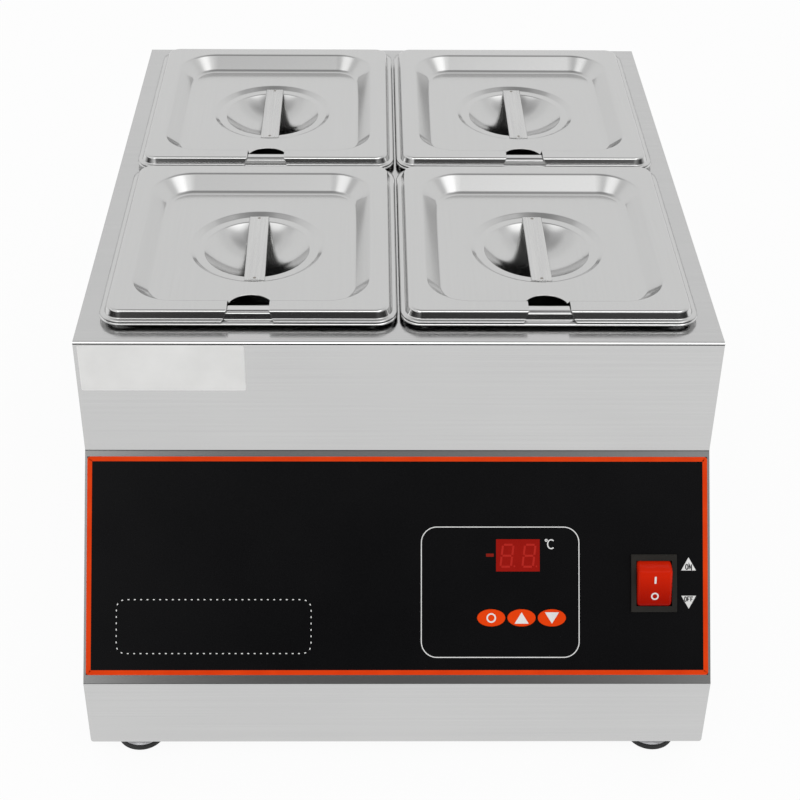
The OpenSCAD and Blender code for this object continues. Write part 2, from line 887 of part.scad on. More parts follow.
// Saddle of spring steel over the probe
module probe_clip() {
    high = probe_d / 2 + clip_wall;
    color("gainsboro") at_probe() difference() {
        translate([-clip_l / 2, -high, -high]) cube([clip_l, 2 * high, high + probe_d / 2]);
        translate([-clip_l / 2 - over, 0, 0]) rotate([0, 90, 0])
            cylinder(d = probe_d + play, h = clip_l + 2 * over);
        translate([-clip_l / 2 - over, -(probe_d + play) / 2, 0])
            cube([clip_l + 2 * over, probe_d + play, probe_d]);
    }
}

// Thermostat

module panel_overlay() {
    high = panel_len - overlay_top - overlay_bottom;
    color("black") difference() {
        on_panel(0, overlay_top + high)
            translate([overlay_side - body_w / 2, 0, 0]) cube([body_w - 2 * overlay_side, high, overlay_t]);
        panel_cuts();
    }
}

module display_window() {
    color("firebrick") at_display() translate([-display_w / 2, -display_h / 2, -sheet_t])
        cube([display_w, display_h, sheet_t + overlay_t]);
}

module display_module() {
    w = display_w + 2 * display_rim;
    h = display_h + 2 * display_rim;
    pins = standoff_l - display_body_h;
    color("darkred") at_display() {
        translate([-w / 2, -h / 2, -sheet_t - display_body_h]) cube([w, h, display_body_h]);
        for (s = [-1, 1])
            for (k = [0:pin_count - 1])
                translate([
                    (k - (pin_count - 1) / 2) * pin_pitch,
                    s * (h / 2 - pin_row_inset),
                    -sheet_t - display_body_h - pins])
                    cylinder(d = pin_d, h = pins);
    }
}

// Corners of the board where it is held
module at_standoffs() {
    for (sx = [-1, 1])
        for (sy = [-1, 1])
            on_board(sx * (board_w / 2 - standoff_inset), sy * (board_h / 2 - standoff_inset)) children();
}

module control_board() {
    color("darkgreen") difference() {
        on_board(0, 0) translate([-board_w / 2, -board_h / 2, -board_t]) cube([board_w, board_h, board_t]);
        at_standoffs() disc(board_hole_d, board_t + 2 * over, -board_t - over);
    }
}

module board_standoffs() {
    color("gold") at_standoffs() tube(standoff_d, board_hole_d, standoff_l);
}

module board_screws() {
    color("dimgray") at_standoffs() translate([0, 0, -board_t])
        screw(board_screw_d, board_t + standoff_l, board_head_d, board_head_h);
}

module tact_switches() {
    color("dimgray") for (k = [-1:1])
        on_board(button_dx + k * button_pitch, -button_dy) {
            translate([-tact_w / 2, -tact_w / 2, 0]) cube([tact_w, tact_w, tact_h]);
            disc(tact_stem_d, tact_stem_h, tact_h);
        }
}

// Oval cap with a flange behind the panel and a stem over its switch
module push_button(k) {
    stem = standoff_l - tact_h - tact_stem_h - button_travel - play - button_flange_t;
    color("orangered") at_button(k) {
        translate([0, 0, -sheet_t]) linear_extrude(sheet_t + overlay_t + button_rise)
            polygon(ellipse(button_w, button_h));
        translate([0, 0, -sheet_t - button_flange_t]) linear_extrude(button_flange_t)
            polygon(ellipse(
                button_w + 2 * button_gap + 2 * button_hold_w,
                button_h + 2 * button_gap + 2 * button_hold_h));
        translate([0, 0, -sheet_t - button_flange_t - stem]) cylinder(d = button_stem_d, h = stem);
    }
}

module relay() {
    color("royalblue") on_board(relay_dx, relay_dy)
        translate([-relay_w / 2, -relay_l / 2, -board_t - relay_h]) cube([relay_w, relay_l, relay_h]);
}

module transformer() {
    color("goldenrod") on_board(transformer_dx, transformer_dy) translate([0, 0, -board_t]) {
        translate([-core_w / 2, -core_l / 2, -core_h]) cube([core_w, core_l, core_h]);
        translate([-coil_w / 2, -coil_l / 2, -core_h + core_lift]) cube([coil_w, coil_l, coil_h]);
    }
}

module terminal_block() {
    step = terminal_w / terminal_ways;
    color("seagreen") on_board(terminal_dx, terminal_dy) translate([0, 0, -board_t - terminal_h])
    difference() {
        translate([-terminal_w / 2, -terminal_l / 2, 0]) cube([terminal_w, terminal_l, terminal_h]);
        for (k = [0:terminal_ways - 1])
            translate([step * (k + terminal_step_share) - terminal_w / 2, 0, -over])
                cylinder(d = terminal_screw_d, h = terminal_screw_deep + over);
    }
}

// Mains switch

module at_rocker() {
    at_switch() translate([0, 0, rocker_pivot]) children();
}

// Cylinder on the rocker's axis, centred across the switch
module rocker_barrel(r, w) {
    translate([-w / 2, 0, 0]) rotate([0, 90, 0]) cylinder(r = r, h = w);
}

bezel_section = [
    [-switch_h / 2, 0], [switch_h / 2, 0], [switch_h / 2, bezel_t - bezel_draft],
    [switch_h / 2 - bezel_draft, bezel_t], [bezel_draft - switch_h / 2, bezel_t],
    [-switch_h / 2, bezel_t - bezel_draft]];

module switch_housing() {
    color("darkslategray") difference() {
        at_switch() {
            translate([0, 0, overlay_t]) along_x(-switch_w / 2, switch_w) polygon(bezel_section);
            translate([-switch_body_w / 2, -switch_body_h / 2, overlay_t - switch_deep])
                cube([switch_body_w, switch_body_h, switch_deep]);
        }
        at_rocker() {
            rocker_barrel(rocker_r + rocker_gap, rocker_w + 2 * rocker_gap);
            rocker_barrel(trunnion_d / 2 + play, rocker_w + 2 * trunnion_l + 2 * play);
        }
    }
}

module switch_blades() {
    color("goldenrod") at_switch() for (sx = [-1, 1])
        for (sy = [-1, 1])
            translate([
                sx * switch_body_w * switch_blade_x_share,
                sy * switch_body_h * switch_blade_y_share,
                overlay_t - switch_deep - blade_l])
                blade(blade_l);
}

// Rocker at rest with its lower end pressed in
module switch_rocker() {
    color("red") at_rocker() rotate([rocker_tilt, 0, 0]) {
        intersection() {
            rocker_barrel(rocker_r, rocker_w);
            translate([-rocker_w / 2, -rocker_r, -rocker_under])
                cube([rocker_w, 2 * rocker_r, rocker_under + rocker_face]);
        }
        rocker_barrel(trunnion_d / 2, rocker_w + 2 * trunnion_l);
    }
}

// Feet

puck_outline = [
    [foot_d / 2 - puck_draft, puck_h], [foot_d / 2, puck_round], [foot_d / 2 - puck_round, 0],
    [foot_recess_d / 2, 0], [foot_recess_d / 2, puck_h]];
cup_outline = [
    [foot_hole_d / 2, puck_h], [cup_r, puck_h], [cup_r, puck_h + cup_lip], [cup_r - cup_slope, puck_h + cup_h],
    [foot_neck_d / 2, puck_h + cup_h + cup_top], [foot_neck_d / 2, base_z], [foot_hole_d / 2, base_z]];

module foot(i) {
    color("black") at_foot(i) rotate_extrude() polygon(puck_outline);
}

module foot_discs() {
    color("gray") at_feet() rotate_extrude() polygon(cup_outline);
}

module foot_screws() {
    length = base_z + sheet_t + foot_nut_h + foot_nut_end - foot_recess_h;
    color("silver") at_feet() translate([0, 0, foot_recess_h])
        screw(foot_screw_d, length, foot_head_d, foot_head_h);
}

module foot_nuts() {
    color("silver") at_feet() translate([0, 0, base_z + sheet_t]) difference() {
        cylinder(d = foot_nut_d, h = foot_nut_h, $fn = 6);
        disc(foot_screw_d + thread_gap, foot_nut_h + 2 * over, -over);
    }
}

// Cord gland

module cord_gland() {
    color("dimgray") at_gland() difference() {
        union() {
            disc(gland_thread_d, gland_thread_l + sheet_t, -gland_thread_l - sheet_t);
            cylinder(d = gland_hex_d, h = gland_hex_h, $fn = 6);
            translate([0, 0, gland_hex_h])
                cylinder(d1 = gland_dome_d, d2 = gland_dome_tip_d, h = gland_dome_h);
        }
        disc(gland_bore, gland_thread_l + sheet_t + gland_out + 2 * over, -gland_thread_l - sheet_t - over);
    }
}

module gland_locknut() {
    color("dimgray") at_gland() translate([0, 0, -sheet_t - gland_nut_h]) difference() {
        cylinder(d = gland_hex_d, h = gland_nut_h, $fn = 6);
        disc(gland_thread_d + thread_gap, gland_nut_h + 2 * over, -over);
    }
}

case_wrap();
side_left();
side_right();
back_panel();
base_plate();
for (i = [0:3]) {
    pan(i);
    lid(i);
    lid_handle(i);
    well(i);
    heater(i);
    foot(i);
}
foot_discs();
foot_screws();
foot_nuts();
thermal_cutouts();
temperature_probe();
probe_clip();
panel_overlay();
display_window();
display_module();
control_board();
board_standoffs();
board_screws();
tact_switches();
relay();
transformer();
terminal_block();
push_button(-1);  // set_button
push_button(0);  // up_button
push_button(1);  // down_button
switch_housing();
switch_blades();
switch_rocker();
cord_gland();
gland_locknut();
back_screws();
base_screws();
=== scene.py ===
"""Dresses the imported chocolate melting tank: pressed pans and lids, panel print, finishes, light and camera.

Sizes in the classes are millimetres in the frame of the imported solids; meshes are written in metres.
"""

import logging
import math
from dataclasses import dataclass, field
from enum import Enum
from typing import Iterable, Sequence

import bpy
import numpy as np
from mathutils import Matrix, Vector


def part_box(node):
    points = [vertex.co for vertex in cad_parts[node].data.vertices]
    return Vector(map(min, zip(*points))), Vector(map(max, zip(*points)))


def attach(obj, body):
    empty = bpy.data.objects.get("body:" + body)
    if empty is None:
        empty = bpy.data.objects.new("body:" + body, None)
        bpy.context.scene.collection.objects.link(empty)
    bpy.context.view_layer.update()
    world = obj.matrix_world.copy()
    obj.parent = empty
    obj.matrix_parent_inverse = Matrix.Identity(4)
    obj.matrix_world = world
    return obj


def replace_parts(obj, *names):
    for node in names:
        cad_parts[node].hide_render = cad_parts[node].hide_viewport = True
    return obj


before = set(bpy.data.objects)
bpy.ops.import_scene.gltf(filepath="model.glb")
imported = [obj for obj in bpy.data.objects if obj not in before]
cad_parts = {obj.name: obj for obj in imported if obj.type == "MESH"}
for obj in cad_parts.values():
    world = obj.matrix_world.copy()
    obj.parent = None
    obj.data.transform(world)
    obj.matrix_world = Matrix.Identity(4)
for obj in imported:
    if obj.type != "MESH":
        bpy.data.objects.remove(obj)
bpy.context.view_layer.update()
MM = 0.001
MICRON = 0.000001
TINY = 0.000001
Array = np.ndarray
Object = bpy.types.Object
Socket = bpy.types.NodeSocket
Inputs = bpy.types.bpy_prop_collection
Pair = tuple[float, float]
Stops = tuple[Pair, ...]
Triple = tuple[float, float, float]
Flat = tuple[Array, Array]
log = logging.getLogger("melting_tank")


class Tank(Enum):
    """The four places for a pan, each with the angle its strap is welded off square, in degrees."""

    FRONT_LEFT = ("front_left", 1.0)
    FRONT_RIGHT = ("front_right", 0.0)
    REAR_LEFT = ("rear_left", 0.0)
    REAR_RIGHT = ("rear_right", 0.0)

    @property
    def place(self) -> str:
        """Name of the place, as the nodes and bodies end in it."""
        return self.value[0]

    @property
    def turn(self) -> float:
        """Turn of the strap in radians."""
        return math.radians(self.value[1])


# ---- meshes


def grid_quads(rows: int, cols: int, wrap: bool) -> Array:
    """Corner numbers of the quads of a grid numbered row by row.

    Args:
        rows: Number of rows of points.
        cols: Number of columns of points.
        wrap: Whether the last column joins the first one.

    Returns:
        Quads as (n, 4), turned so that row x column points up.
    """
    i = np.arange(rows - 1)[:, None]
    j = np.arange(cols if wrap else cols - 1)[None, :]
    k = (j + 1) % cols
    corners = [i * cols + j, i * cols + k, (i + 1) * cols + k, (i + 1) * cols + j]
    return np.stack(np.broadcast_arrays(*corners), -1).reshape(-1, 4)


def weld(points: Array, quads: Array) -> tuple[Array, list[list[int]]]:
    """Joins equal points; quads that lose one corner become triangles, and those that lose more go.

    Args:
        points: Points as (n, 3) in millimetres.
        quads: Corner numbers as (m, 4).

    Returns:
        The points that stay and the faces between them.
    """
    _, first, back = np.unique(np.round(points, 4), axis=0, return_index=True, return_inverse=True)
    corners = back.reshape(-1)[quads]
    same = corners == np.roll(corners, -1, axis=1)
    count = same.sum(axis=1)
    full = corners[count == 0]
    full = full[(full[:, 0] != full[:, 2]) & (full[:, 1] != full[:, 3])]
    part = corners[count == 1]
    tris = part[~same[count == 1]].reshape(-1, 3)
    return points[first], full.tolist() + tris.tolist()


def unit(v: Array) -> Array:
    """Vectors brought to length 1."""
    return v / np.linalg.norm(v, axis=-1, keepdims=True)


def left_of(v: Array) -> Array:
    """Flat vectors turned a quarter to the left."""
    return np.stack([-v[:, 1], v[:, 0]], 1)


def bent(path: Sequence[Sequence[float]], radii: Sequence[float], steps: int, hold: float) -> Array:
    """Profile with rounded corners.

    Each corner becomes an arc tangent to both its sides, c + r (sin((1-s)b) n0 + sin(sb) n1) / sin b,
    with one more point on each side of it that keeps the flat beside the bend flat.

    Args:
        path: Corners of the profile, ends included.
        radii: Bend radius at each corner between the ends.
        steps: Segments of an arc.
        hold: Distance of the holding points from the arc.

    Returns:
        Points of the profile as (n, 2).
    """
    p = np.asarray(path, float)
    s = np.linspace(0.0, 1.0, steps + 1)[:, None]
    runs = [p[:1]]
    for k, r in enumerate(radii, start=1):
        u, v = unit(p[k - 1] - p[k]), unit(p[k + 1] - p[k])
        half = math.acos(np.clip(u @ v, -1.0, 1.0)) / 2
        c = p[k] + unit(u + v) * r / math.sin(half)
        t0, t1 = p[k] + u * r / math.tan(half), p[k] + v * r / math.tan(half)
        b = math.pi - 2 * half
        n0, n1 = (t0 - c) / r, (t1 - c) / r
        arc = c + r * (np.sin((1 - s) * b) * n0 + np.sin(s * b) * n1) / math.sin(b)
        runs += [t0[None] + u * hold, arc, t1[None] + v * hold]
    return np.concatenate([*runs, p[-1:]])


def merged(shapes: Iterable[Flat]) -> Flat:
    """Puts several shapes together.

    Args:
        shapes: Points and quads of each shape.

    Returns:
        All points and all quads.
    """
    points, quads, count = [], [], 0
    for p, q in shapes:
        points.append(p)
        quads.append(q + count)
        count += len(p)
    return np.concatenate(points), np.concatenate(quads)


def ribbon(path: Array, width: float, closed: bool) -> Flat:
    """Flat band along a path: points move half the width to both sides along the mitre of their segments.

    Args:
        path: Points of the middle line as (n, 2).
        width: Width of the band.
        closed: Whether the last point joins the first one.

    Returns:
        Points as (2n, 2) and quads.
    """
    after = np.roll(path, -1, axis=0) - path
    before = np.roll(after, 1, axis=0)
    if not closed:
        after[-1], before[0] = before[-1], after[0]
    n1, n2 = left_of(unit(before)), left_of(unit(after))
    m = unit(n1 + n2)
    off = m * (width / 2 / np.sum(m * n1, axis=1, keepdims=True))
    rows = np.stack([path - off, path + off])
    return rows.reshape(-1, 2), grid_quads(2, len(path), closed)


def patch(outline: Array) -> Flat:
    """Filled shape: its outline in one row and its middle point, repeated, in the next one."""
    middle = np.repeat(outline.mean(axis=0, keepdims=True), len(outline), axis=0)
    return np.concatenate([outline, middle]), grid_quads(2, len(outline), True)


def oval(w: float, h: float, centre: Pair, steps: int, turn: Pair = (0.0, 360.0)) -> Array:
    """Points of an ellipse, c + (w/2 cos a, h/2 sin a), or of the arc between two angles of it."""
    a = np.radians(np.linspace(turn[0], turn[1], steps, endpoint=turn[1] - turn[0] < 360.0))
    return np.stack([centre[0] + w / 2 * np.cos(a), centre[1] + h / 2 * np.sin(a)], 1)


def rounded_box(lo: Pair, hi: Pair, r: float, steps: int = 8) -> Array:
    """Outline of a rectangle with round corners, counter-clockwise from its lower right corner.

    Args:
        lo: Its lower left corner.
        hi: Its upper right corner.
        r: Radius of the corners.
        steps: Segments of a corner.

    Returns:
        Points as (n, 2).
    """
    quarters = np.radians([0.0, 90.0, 180.0, 270.0])[:, None]
    a = np.radians(np.linspace(-90.0, 0.0, steps + 1))[None, :] + quarters
    cx = np.array([hi[0] - r, hi[0] - r, lo[0] + r, lo[0] + r])[:, None]
    cy = np.array([lo[1] + r, hi[1] - r, hi[1] - r, lo[1] + r])[:, None]
    return np.stack([cx + r * np.cos(a), cy + r * np.sin(a)], -1).reshape(-1, 2)


def dashes(path: Array, pitch: float, length: float, width: float) -> Flat:
    """Row of short dashes along a closed path.

    The path is walked by its own length; dash k is the quad round the point at (k + 1/2) pitch, along the
    segment it falls on.

    Args:
        path: Corners of the path as (n, 2).
        pitch: Wanted distance between dashes, rounded so that they close up.
        length: Length of a dash.
        width: Width of a dash.

    Returns:
        Points and quads.
    """
    ring = np.concatenate([path, path[:1]])
    step = np.diff(ring, axis=0)
    run = np.concatenate([[0.0], np.cumsum(np.linalg.norm(step, axis=1))])
    count = int(round(run[-1] / pitch))
    at = (np.arange(count) + 0.5) * run[-1] / count
    ends = np.stack([at - length / 2, at + length / 2], 1)
    a, b = (np.stack([np.interp(end, run, line) for line in ring.T], 1) for end in ends.T)
    side = left_of(unit(b - a)) * width / 2
    points = np.stack([a - side, b - side, b + side, a + side], 1).reshape(-1, 2)
    return points, np.arange(4 * count).reshape(-1, 4)


def add_piece(
    name: str, points: Array, quads: Array, finish: "Finish", body: str, sheet: float = 0.0,
    smooth: bool = True,
) -> Object:
    """Makes a piece from a grid, dresses it and lets it ride on a body.

    Args:
        name: Name of the piece.
        points: Points as (n, 3) in millimetres.
        quads: Corner numbers as (m, 4).
        finish: What the piece is dressed in.
        body: Body that the piece moves with.
        sheet: Thickness given to the surface, below its face; 0 leaves it as it is.
        smooth: Whether its faces are shaded as one curved surface.

    Returns:
        The new object.
    """
    corners, faces = weld(points, quads)
    mesh = bpy.data.meshes.new(name)
    mesh.from_pydata((corners * MM).tolist(), [], faces)
    mesh.polygons.foreach_set("use_smooth", np.full(len(mesh.polygons), smooth))
    mesh.materials.append(finish.material())
    mesh.update()
    piece = bpy.data.objects.new(name, mesh)
    bpy.context.scene.collection.objects.link(piece)
    if sheet:
        wall = piece.modifiers.new("sheet", "SOLIDIFY")
        wall.thickness = sheet * MM
        wall.offset = -1.0
        wall.use_even_offset = True
    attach(piece, body)
    log.info("%s: %d faces on %s", name, len(faces), body)
    return piece


def dress_nodes(finish: "Finish", *nodes: str) -> None:
    """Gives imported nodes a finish, in every material slot they have.

    Args:
        finish: What they are dressed in.
        nodes: Names of the nodes.
    """
    for node in nodes:
        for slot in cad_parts[node].material_slots:
            slot.material = finish.material()
        log.info("%s: dressed in %s", node, finish.name)


def soften(node: str, width: float, segments: int, sharp: float = 32.0, near: float = 0.01) -> None:
    """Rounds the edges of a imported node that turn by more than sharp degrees.

    Args:
        node: Name of the node.
        width: Width of the bevel.
        segments: Segments of the bevel.
        sharp: Smallest turn of an edge that is rounded, in degrees.
        near: Distance at which points are joined first.
    """
    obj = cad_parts[node]
    join = obj.modifiers.new("join", "WELD")
    join.merge_threshold = near * MM
    edge = obj.modifiers.new("soft_edges", "BEVEL")
    edge.width = width * MM
    edge.segments = segments
    edge.limit_method = "ANGLE"
    edge.angle_limit = math.radians(sharp)


# ---- finishes


@dataclass
class Shade:
    """A node tree with short ways to add nodes and links to it."""

    tree: bpy.types.NodeTree

    def node(self, kind: str, **settings: object) -> bpy.types.Node:
        """Adds a node and sets its properties, or its inputs where a name starts with in_.

        Args:
            kind: Node type without the Shader prefix.
            settings: Values, properties first; in_3 is the fourth input and in_Name the input of that name.
                A socket is linked to the input.

        Returns:
            The new node.
        """
        made = self.tree.nodes.new("ShaderNode" + kind)
        for key, value in settings.items():
            if not key.startswith("in_"):
                setattr(made, key, value)
                continue
            name = key[3:].replace("_", " ")
            into = made.inputs[int(name) if name.isdigit() else name]
            if isinstance(value, Socket):
                self.link(value, into)
            else:
                into.default_value = value
        return made

    def link(self, out: Socket, into: Socket) -> None:
        """Joins an output to an input."""
        self.tree.links.new(out, into)

    def calc(self, operation: str, *inputs: object, kind: str = "Math") -> Socket:
        """First output of a Math or VectorMath node with these inputs, numbers, vectors or sockets."""
        values = {f"in_{k}": value for k, value in enumerate(inputs)}
        return self.node(kind, operation=operation, **values).outputs[0]

    def spread(
        self, value: Socket, to: Pair = (0.0, 1.0), span: Pair = (0.0, 1.0), **settings: object
    ) -> Socket:
        """Maps a value from a span to another one."""
        ends = dict(in_1=span[0], in_2=span[1], in_3=to[0], in_4=to[1])
        return self.node("MapRange", **settings, in_0=value, **ends).outputs[0]

    def blend(self, value: Socket, low: object, high: object) -> Socket:
        """Mixes two colours, each a tuple or a socket, by a value from 0 to 1."""
        low, high = (c if isinstance(c, Socket) else (*c, 1.0) for c in (low, high))
        return self.node("Mix", data_type="RGBA", in_0=value, in_6=low, in_7=high).outputs[2]


def noise_group(name: str, detail: float, roughness: float, span: Pair = (0.3, 0.7)) -> bpy.types.NodeTree:
    """Group that gives a cloudy value from 0 to 1 for a vector.

    Args:
        name: Name of the group; one that exists is used again.
        detail: Octaves of the noise.
        roughness: Weight of the finer octaves.
        span: Noise values that become 0 and 1.

    Returns:
        The group's tree, with an input Vector and an output Value.
    """
    if name in bpy.data.node_groups:
        return bpy.data.node_groups[name]
    tree = bpy.data.node_groups.new(name, "ShaderNodeTree")
    tree.interface.new_socket("Vector", in_out="INPUT", socket_type="NodeSocketVector")
    tree.interface.new_socket("Value", in_out="OUTPUT", socket_type="NodeSocketFloat")
    shade = Shade(tree)
    where, end = tree.nodes.new("NodeGroupInput").outputs[0], tree.nodes.new("NodeGroupOutput")
    cloud = shade.node("TexNoise", in_Vector=where, in_Scale=1.0, in_Detail=detail, in_Roughness=roughness)
    shade.link(shade.spread(cloud.outputs[0], span=span), end.inputs[0])
    return tree


def even(value: float) -> Triple:
    """The same number three times: a grey, or a scale along all axes."""
    return (value, value, value)


@dataclass(frozen=True)
class Finish:
    """A finish between two colours that makes its material once and keeps it by name."""

    name: str
    dark: Triple
    light: Triple
    rough: Pair

    def material(self) -> bpy.types.Material:
        """Makes the finish's material at its first use.

        Returns:
            The material.
        """
        made = bpy.data.materials.get("finish_" + self.name)
        if made is None:
            made = bpy.data.materials.new("finish_" + self.name)
            made.use_nodes = True
            self.fill(Shade(made.node_tree), made.node_tree.nodes["Principled BSDF"].inputs)
        return made

    def fill(self, shade: Shade, skin: Inputs) -> None:
        """Adds the finish's nodes to its tree and shader; each kind of finish has its own."""
        raise NotImplementedError

    @staticmethod
    def pattern(shade: Shade, group: bpy.types.NodeTree, scale: Triple) -> Socket:
        """Value of a noise group on Object coordinates stretched by a scale, in cycles per metre."""
        size = shade.node("Mapping", in_Vector=shade.node("TexCoord").outputs["Object"], in_Scale=scale)
        return shade.node("Group", node_tree=group, in_0=size.outputs[0]).outputs[0]

    @staticmethod
    def relief(shade: Shade, height: Socket, depth: float, skin: Inputs) -> None:
        """Bumps the surface by a value, depth microns from 0 to 1."""
        bump = shade.node("Bump", in_Strength=1.0, in_Distance=depth * MICRON, in_Height=height)
        shade.link(bump.outputs[0], skin["Normal"])


@dataclass(frozen=True)
class Steel(Finish):
    """Stainless steel or another bare metal with a fine grain and soft cloudy patches."""

    grain: Triple
    depth: float = 4.0
    wave: float = 14.0
    grain_share: float = 0.7

    def fill(self, shade: Shade, skin: Inputs) -> None:
        """Grain and patches together lighten the metal and vary its gloss; the grain also bumps it.

        Args:
            shade: The material's node tree.
            skin: Inputs of its shader.
        """
        lines = self.pattern(shade, noise_group("metal_grain", 3.0, 0.65), self.grain)
        cloud = self.pattern(shade, noise_group("soft_patches", 2.0, 0.5), even(self.wave))
        share = shade.calc("MULTIPLY", lines, self.grain_share)
        both = shade.calc("MULTIPLY_ADD", cloud, 1.0 - self.grain_share, share)
        skin["Metallic"].default_value = 1.0
        shade.link(shade.blend(both, self.dark, self.light), skin["Base Color"])
        shade.link(shade.spread(both, self.rough[::-1]), skin["Roughness"])
        self.relief(shade, lines, self.depth, skin)


@dataclass(frozen=True)
class Moulded(Finish):
    """Plastic, rubber, ink or paper: a mottled colour, a gloss that varies and a fine texture.

    Between two heights, in metres, height mixes the colours as painted shade, darker below; mottling only a
    little.
    """

    depth: float = 8.0
    gloss: float = 0.5
    mottle: float = 60.0
    texture: float = 2500.0
    # Painted shade: two heights in metres, dark colour below and light above, and the share of the mix they
    # take.
    painted_shade_heights: Pair = (0.0, 0.0)
    painted_shade_share: float = 0.9

    def fill(self, shade: Shade, skin: Inputs) -> None:
        """Mottling, or height as painted shade, mixes the two colours; texture bumps the surface and varies
        its gloss.

        Args:
            shade: The material's node tree.
            skin: Inputs of its shader.
        """
        patches = self.pattern(shade, noise_group("mottling", 4.0, 0.55), even(self.mottle))
        # Painted shade: lower on the part, the colour mixes towards the dark one, standing in for shade.
        if self.painted_shade_heights[1] > self.painted_shade_heights[0]:
            parts = shade.node("SeparateXYZ", in_0=shade.node("TexCoord").outputs["Object"])
            level = shade.spread(parts.outputs[2], (0.0, self.painted_shade_share), self.painted_shade_heights)
            patches = shade.calc("MULTIPLY_ADD", patches, 1.0 - self.painted_shade_share, level)
        bumps = self.pattern(shade, noise_group("moulded_texture", 2.0, 0.5), even(self.texture))
        shade.link(shade.blend(patches, self.dark, self.light), skin["Base Color"])
        shade.link(shade.spread(bumps, self.rough), skin["Roughness"])
        skin["Specular IOR Level"].default_value = self.gloss
        self.relief(shade, bumps, self.depth, skin)


CASE_LIGHT = (0.604, 0.604, 0.602)
CASE_STEEL = Steel("case_brushed_steel", even(0.562), CASE_LIGHT, (0.14, 0.19), (4.0, 1100.0, 1100.0), 2.0)
SIDE_STEEL = Steel("side_brushed_steel", even(0.562), CASE_LIGHT, (0.25, 0.31), (1100.0, 4.0, 1100.0), 2.0)
BASE_STEEL = Steel("base_plain_steel", even(0.42), even(0.52), (0.34, 0.48), (9.0, 500.0, 500.0))
PAN_STEEL = Steel(
    "pan_satin_steel", (0.65, 0.65, 0.648), (0.69, 0.69, 0.687), (0.13, 0.17), (300.0, 300.0, 40.0), 0.5)
LID_STEEL = Steel(
    "lid_satin_steel", (0.614, 0.614, 0.611), (0.632, 0.632, 0.629), (0.12, 0.15), (900.0, 14.0, 900.0), 0.3)
STRAP_STEEL = Steel("strap_satin_steel", even(0.6), (0.7, 0.7, 0.69), (0.22, 0.3), (1300.0, 18.0, 1300.0))
WELD_STEEL = Steel("weld_tinted_steel", (0.24, 0.22, 0.2), (0.44, 0.42, 0.39), (0.3, 0.45), even(700.0))
WELL_ALUMINIUM = Steel(
    "well_cast_aluminium", (0.6, 0.6, 0.61), (0.74, 0.74, 0.75), (0.38, 0.52), even(260.0), 20.0)
FASTENER_STEEL = Steel("fastener_zinc", (0.45, 0.45, 0.46), (0.6, 0.6, 0.62), (0.25, 0.4), even(600.0))
BRASS = Steel("standoff_brass", (0.58, 0.42, 0.16), (0.78, 0.6, 0.28), (0.25, 0.4), even(700.0))
CORE_IRON = Steel("core_iron", (0.18, 0.17, 0.16), (0.3, 0.29, 0.27), (0.35, 0.5), (20.0, 900.0, 20.0))
OVERLAY_BLACK = Moulded(
    "overlay_black_film", (0.0025, 0.0025, 0.003), (0.0035, 0.0035, 0.004), (0.2, 0.3), 1.2, 0.13, 25.0)
ORANGE_INK = Moulded("orange_ink", (0.66, 0.042, 0.004), (0.74, 0.056, 0.006), (0.35, 0.45), 1.0, 0.03)
WHITE_INK = Moulded("white_ink", (0.7, 0.7, 0.69), (0.78, 0.78, 0.77), (0.4, 0.5), 1.0)
DARK_INK = Moulded("dark_ink", (0.012, 0.012, 0.013), (0.02, 0.02, 0.022), (0.4, 0.5), 1.0)
MINUS_INK = Moulded("red_ink", (0.2, 0.011, 0.006), (0.24, 0.014, 0.008), (0.35, 0.45), 1.0, 0.03)
DISPLAY_RED = Moulded(
    "display_red_filter", (0.28, 0.0072, 0.004), (0.31, 0.0084, 0.005), (0.25, 0.35), 1.0, 0.03, 90.0)
SEGMENT_RED = Moulded("display_segments", (0.42, 0.019, 0.013), (0.45, 0.022, 0.015), (0.3, 0.4), 1.0, 0.03)
BUTTON_ORANGE = Moulded("button_orange", (0.72, 0.046, 0.002), (0.79, 0.056, 0.003), (0.3, 0.42), 3.0, 0.04)
# Rocker red with painted shade: its lower part is painted darker by height, the dark colour being a shaded
# copy of the red.
ROCKER_RED = Moulded(
    "rocker_red", (0.25, 0.0015, 0.0003), (0.6, 0.016, 0.002), (0.14, 0.22), 2.0, 0.07, 35.0,
    painted_shade_heights=(0.094, 0.113))
BEZEL_BLACK = Moulded(
    "bezel_moulded_black", (0.014, 0.013, 0.011), (0.021, 0.019, 0.016), (0.4, 0.55), 10.0, 0.2,
    texture=3200.0)
BLACK_PLASTIC = Moulded("black_plastic", even(0.016), even(0.026), (0.35, 0.5))
FOOT_RUBBER = Moulded("foot_rubber", even(0.012), even(0.024), (0.55, 0.75), 20.0)
LABEL_PAPER = Moulded(
    "label_paper", (0.74, 0.74, 0.73), (0.81, 0.81, 0.8), (0.45, 0.6), 4.0, mottle=40.0, texture=1800.0)
SILICONE = Moulded(
    "heater_silicone", (0.4, 0.1, 0.035), (0.52, 0.15, 0.055), (0.55, 0.7), 40.0, texture=700.0)
CERAMIC = Moulded("cutout_ceramic", (0.62, 0.57, 0.46), (0.74, 0.7, 0.6), (0.4, 0.55))
BOARD_GREEN = Moulded("board_green", (0.008, 0.07, 0.025), (0.02, 0.13, 0.05), (0.25, 0.4), mottle=220.0)
RELAY_BLUE = Moulded("relay_blue", (0.015, 0.06, 0.3), (0.025, 0.09, 0.4), (0.3, 0.45))
TERMINAL_GREEN = Moulded("terminal_green", (0.015, 0.2, 0.07), (0.03, 0.28, 0.11), (0.35, 0.5))


# ---- pans and lids


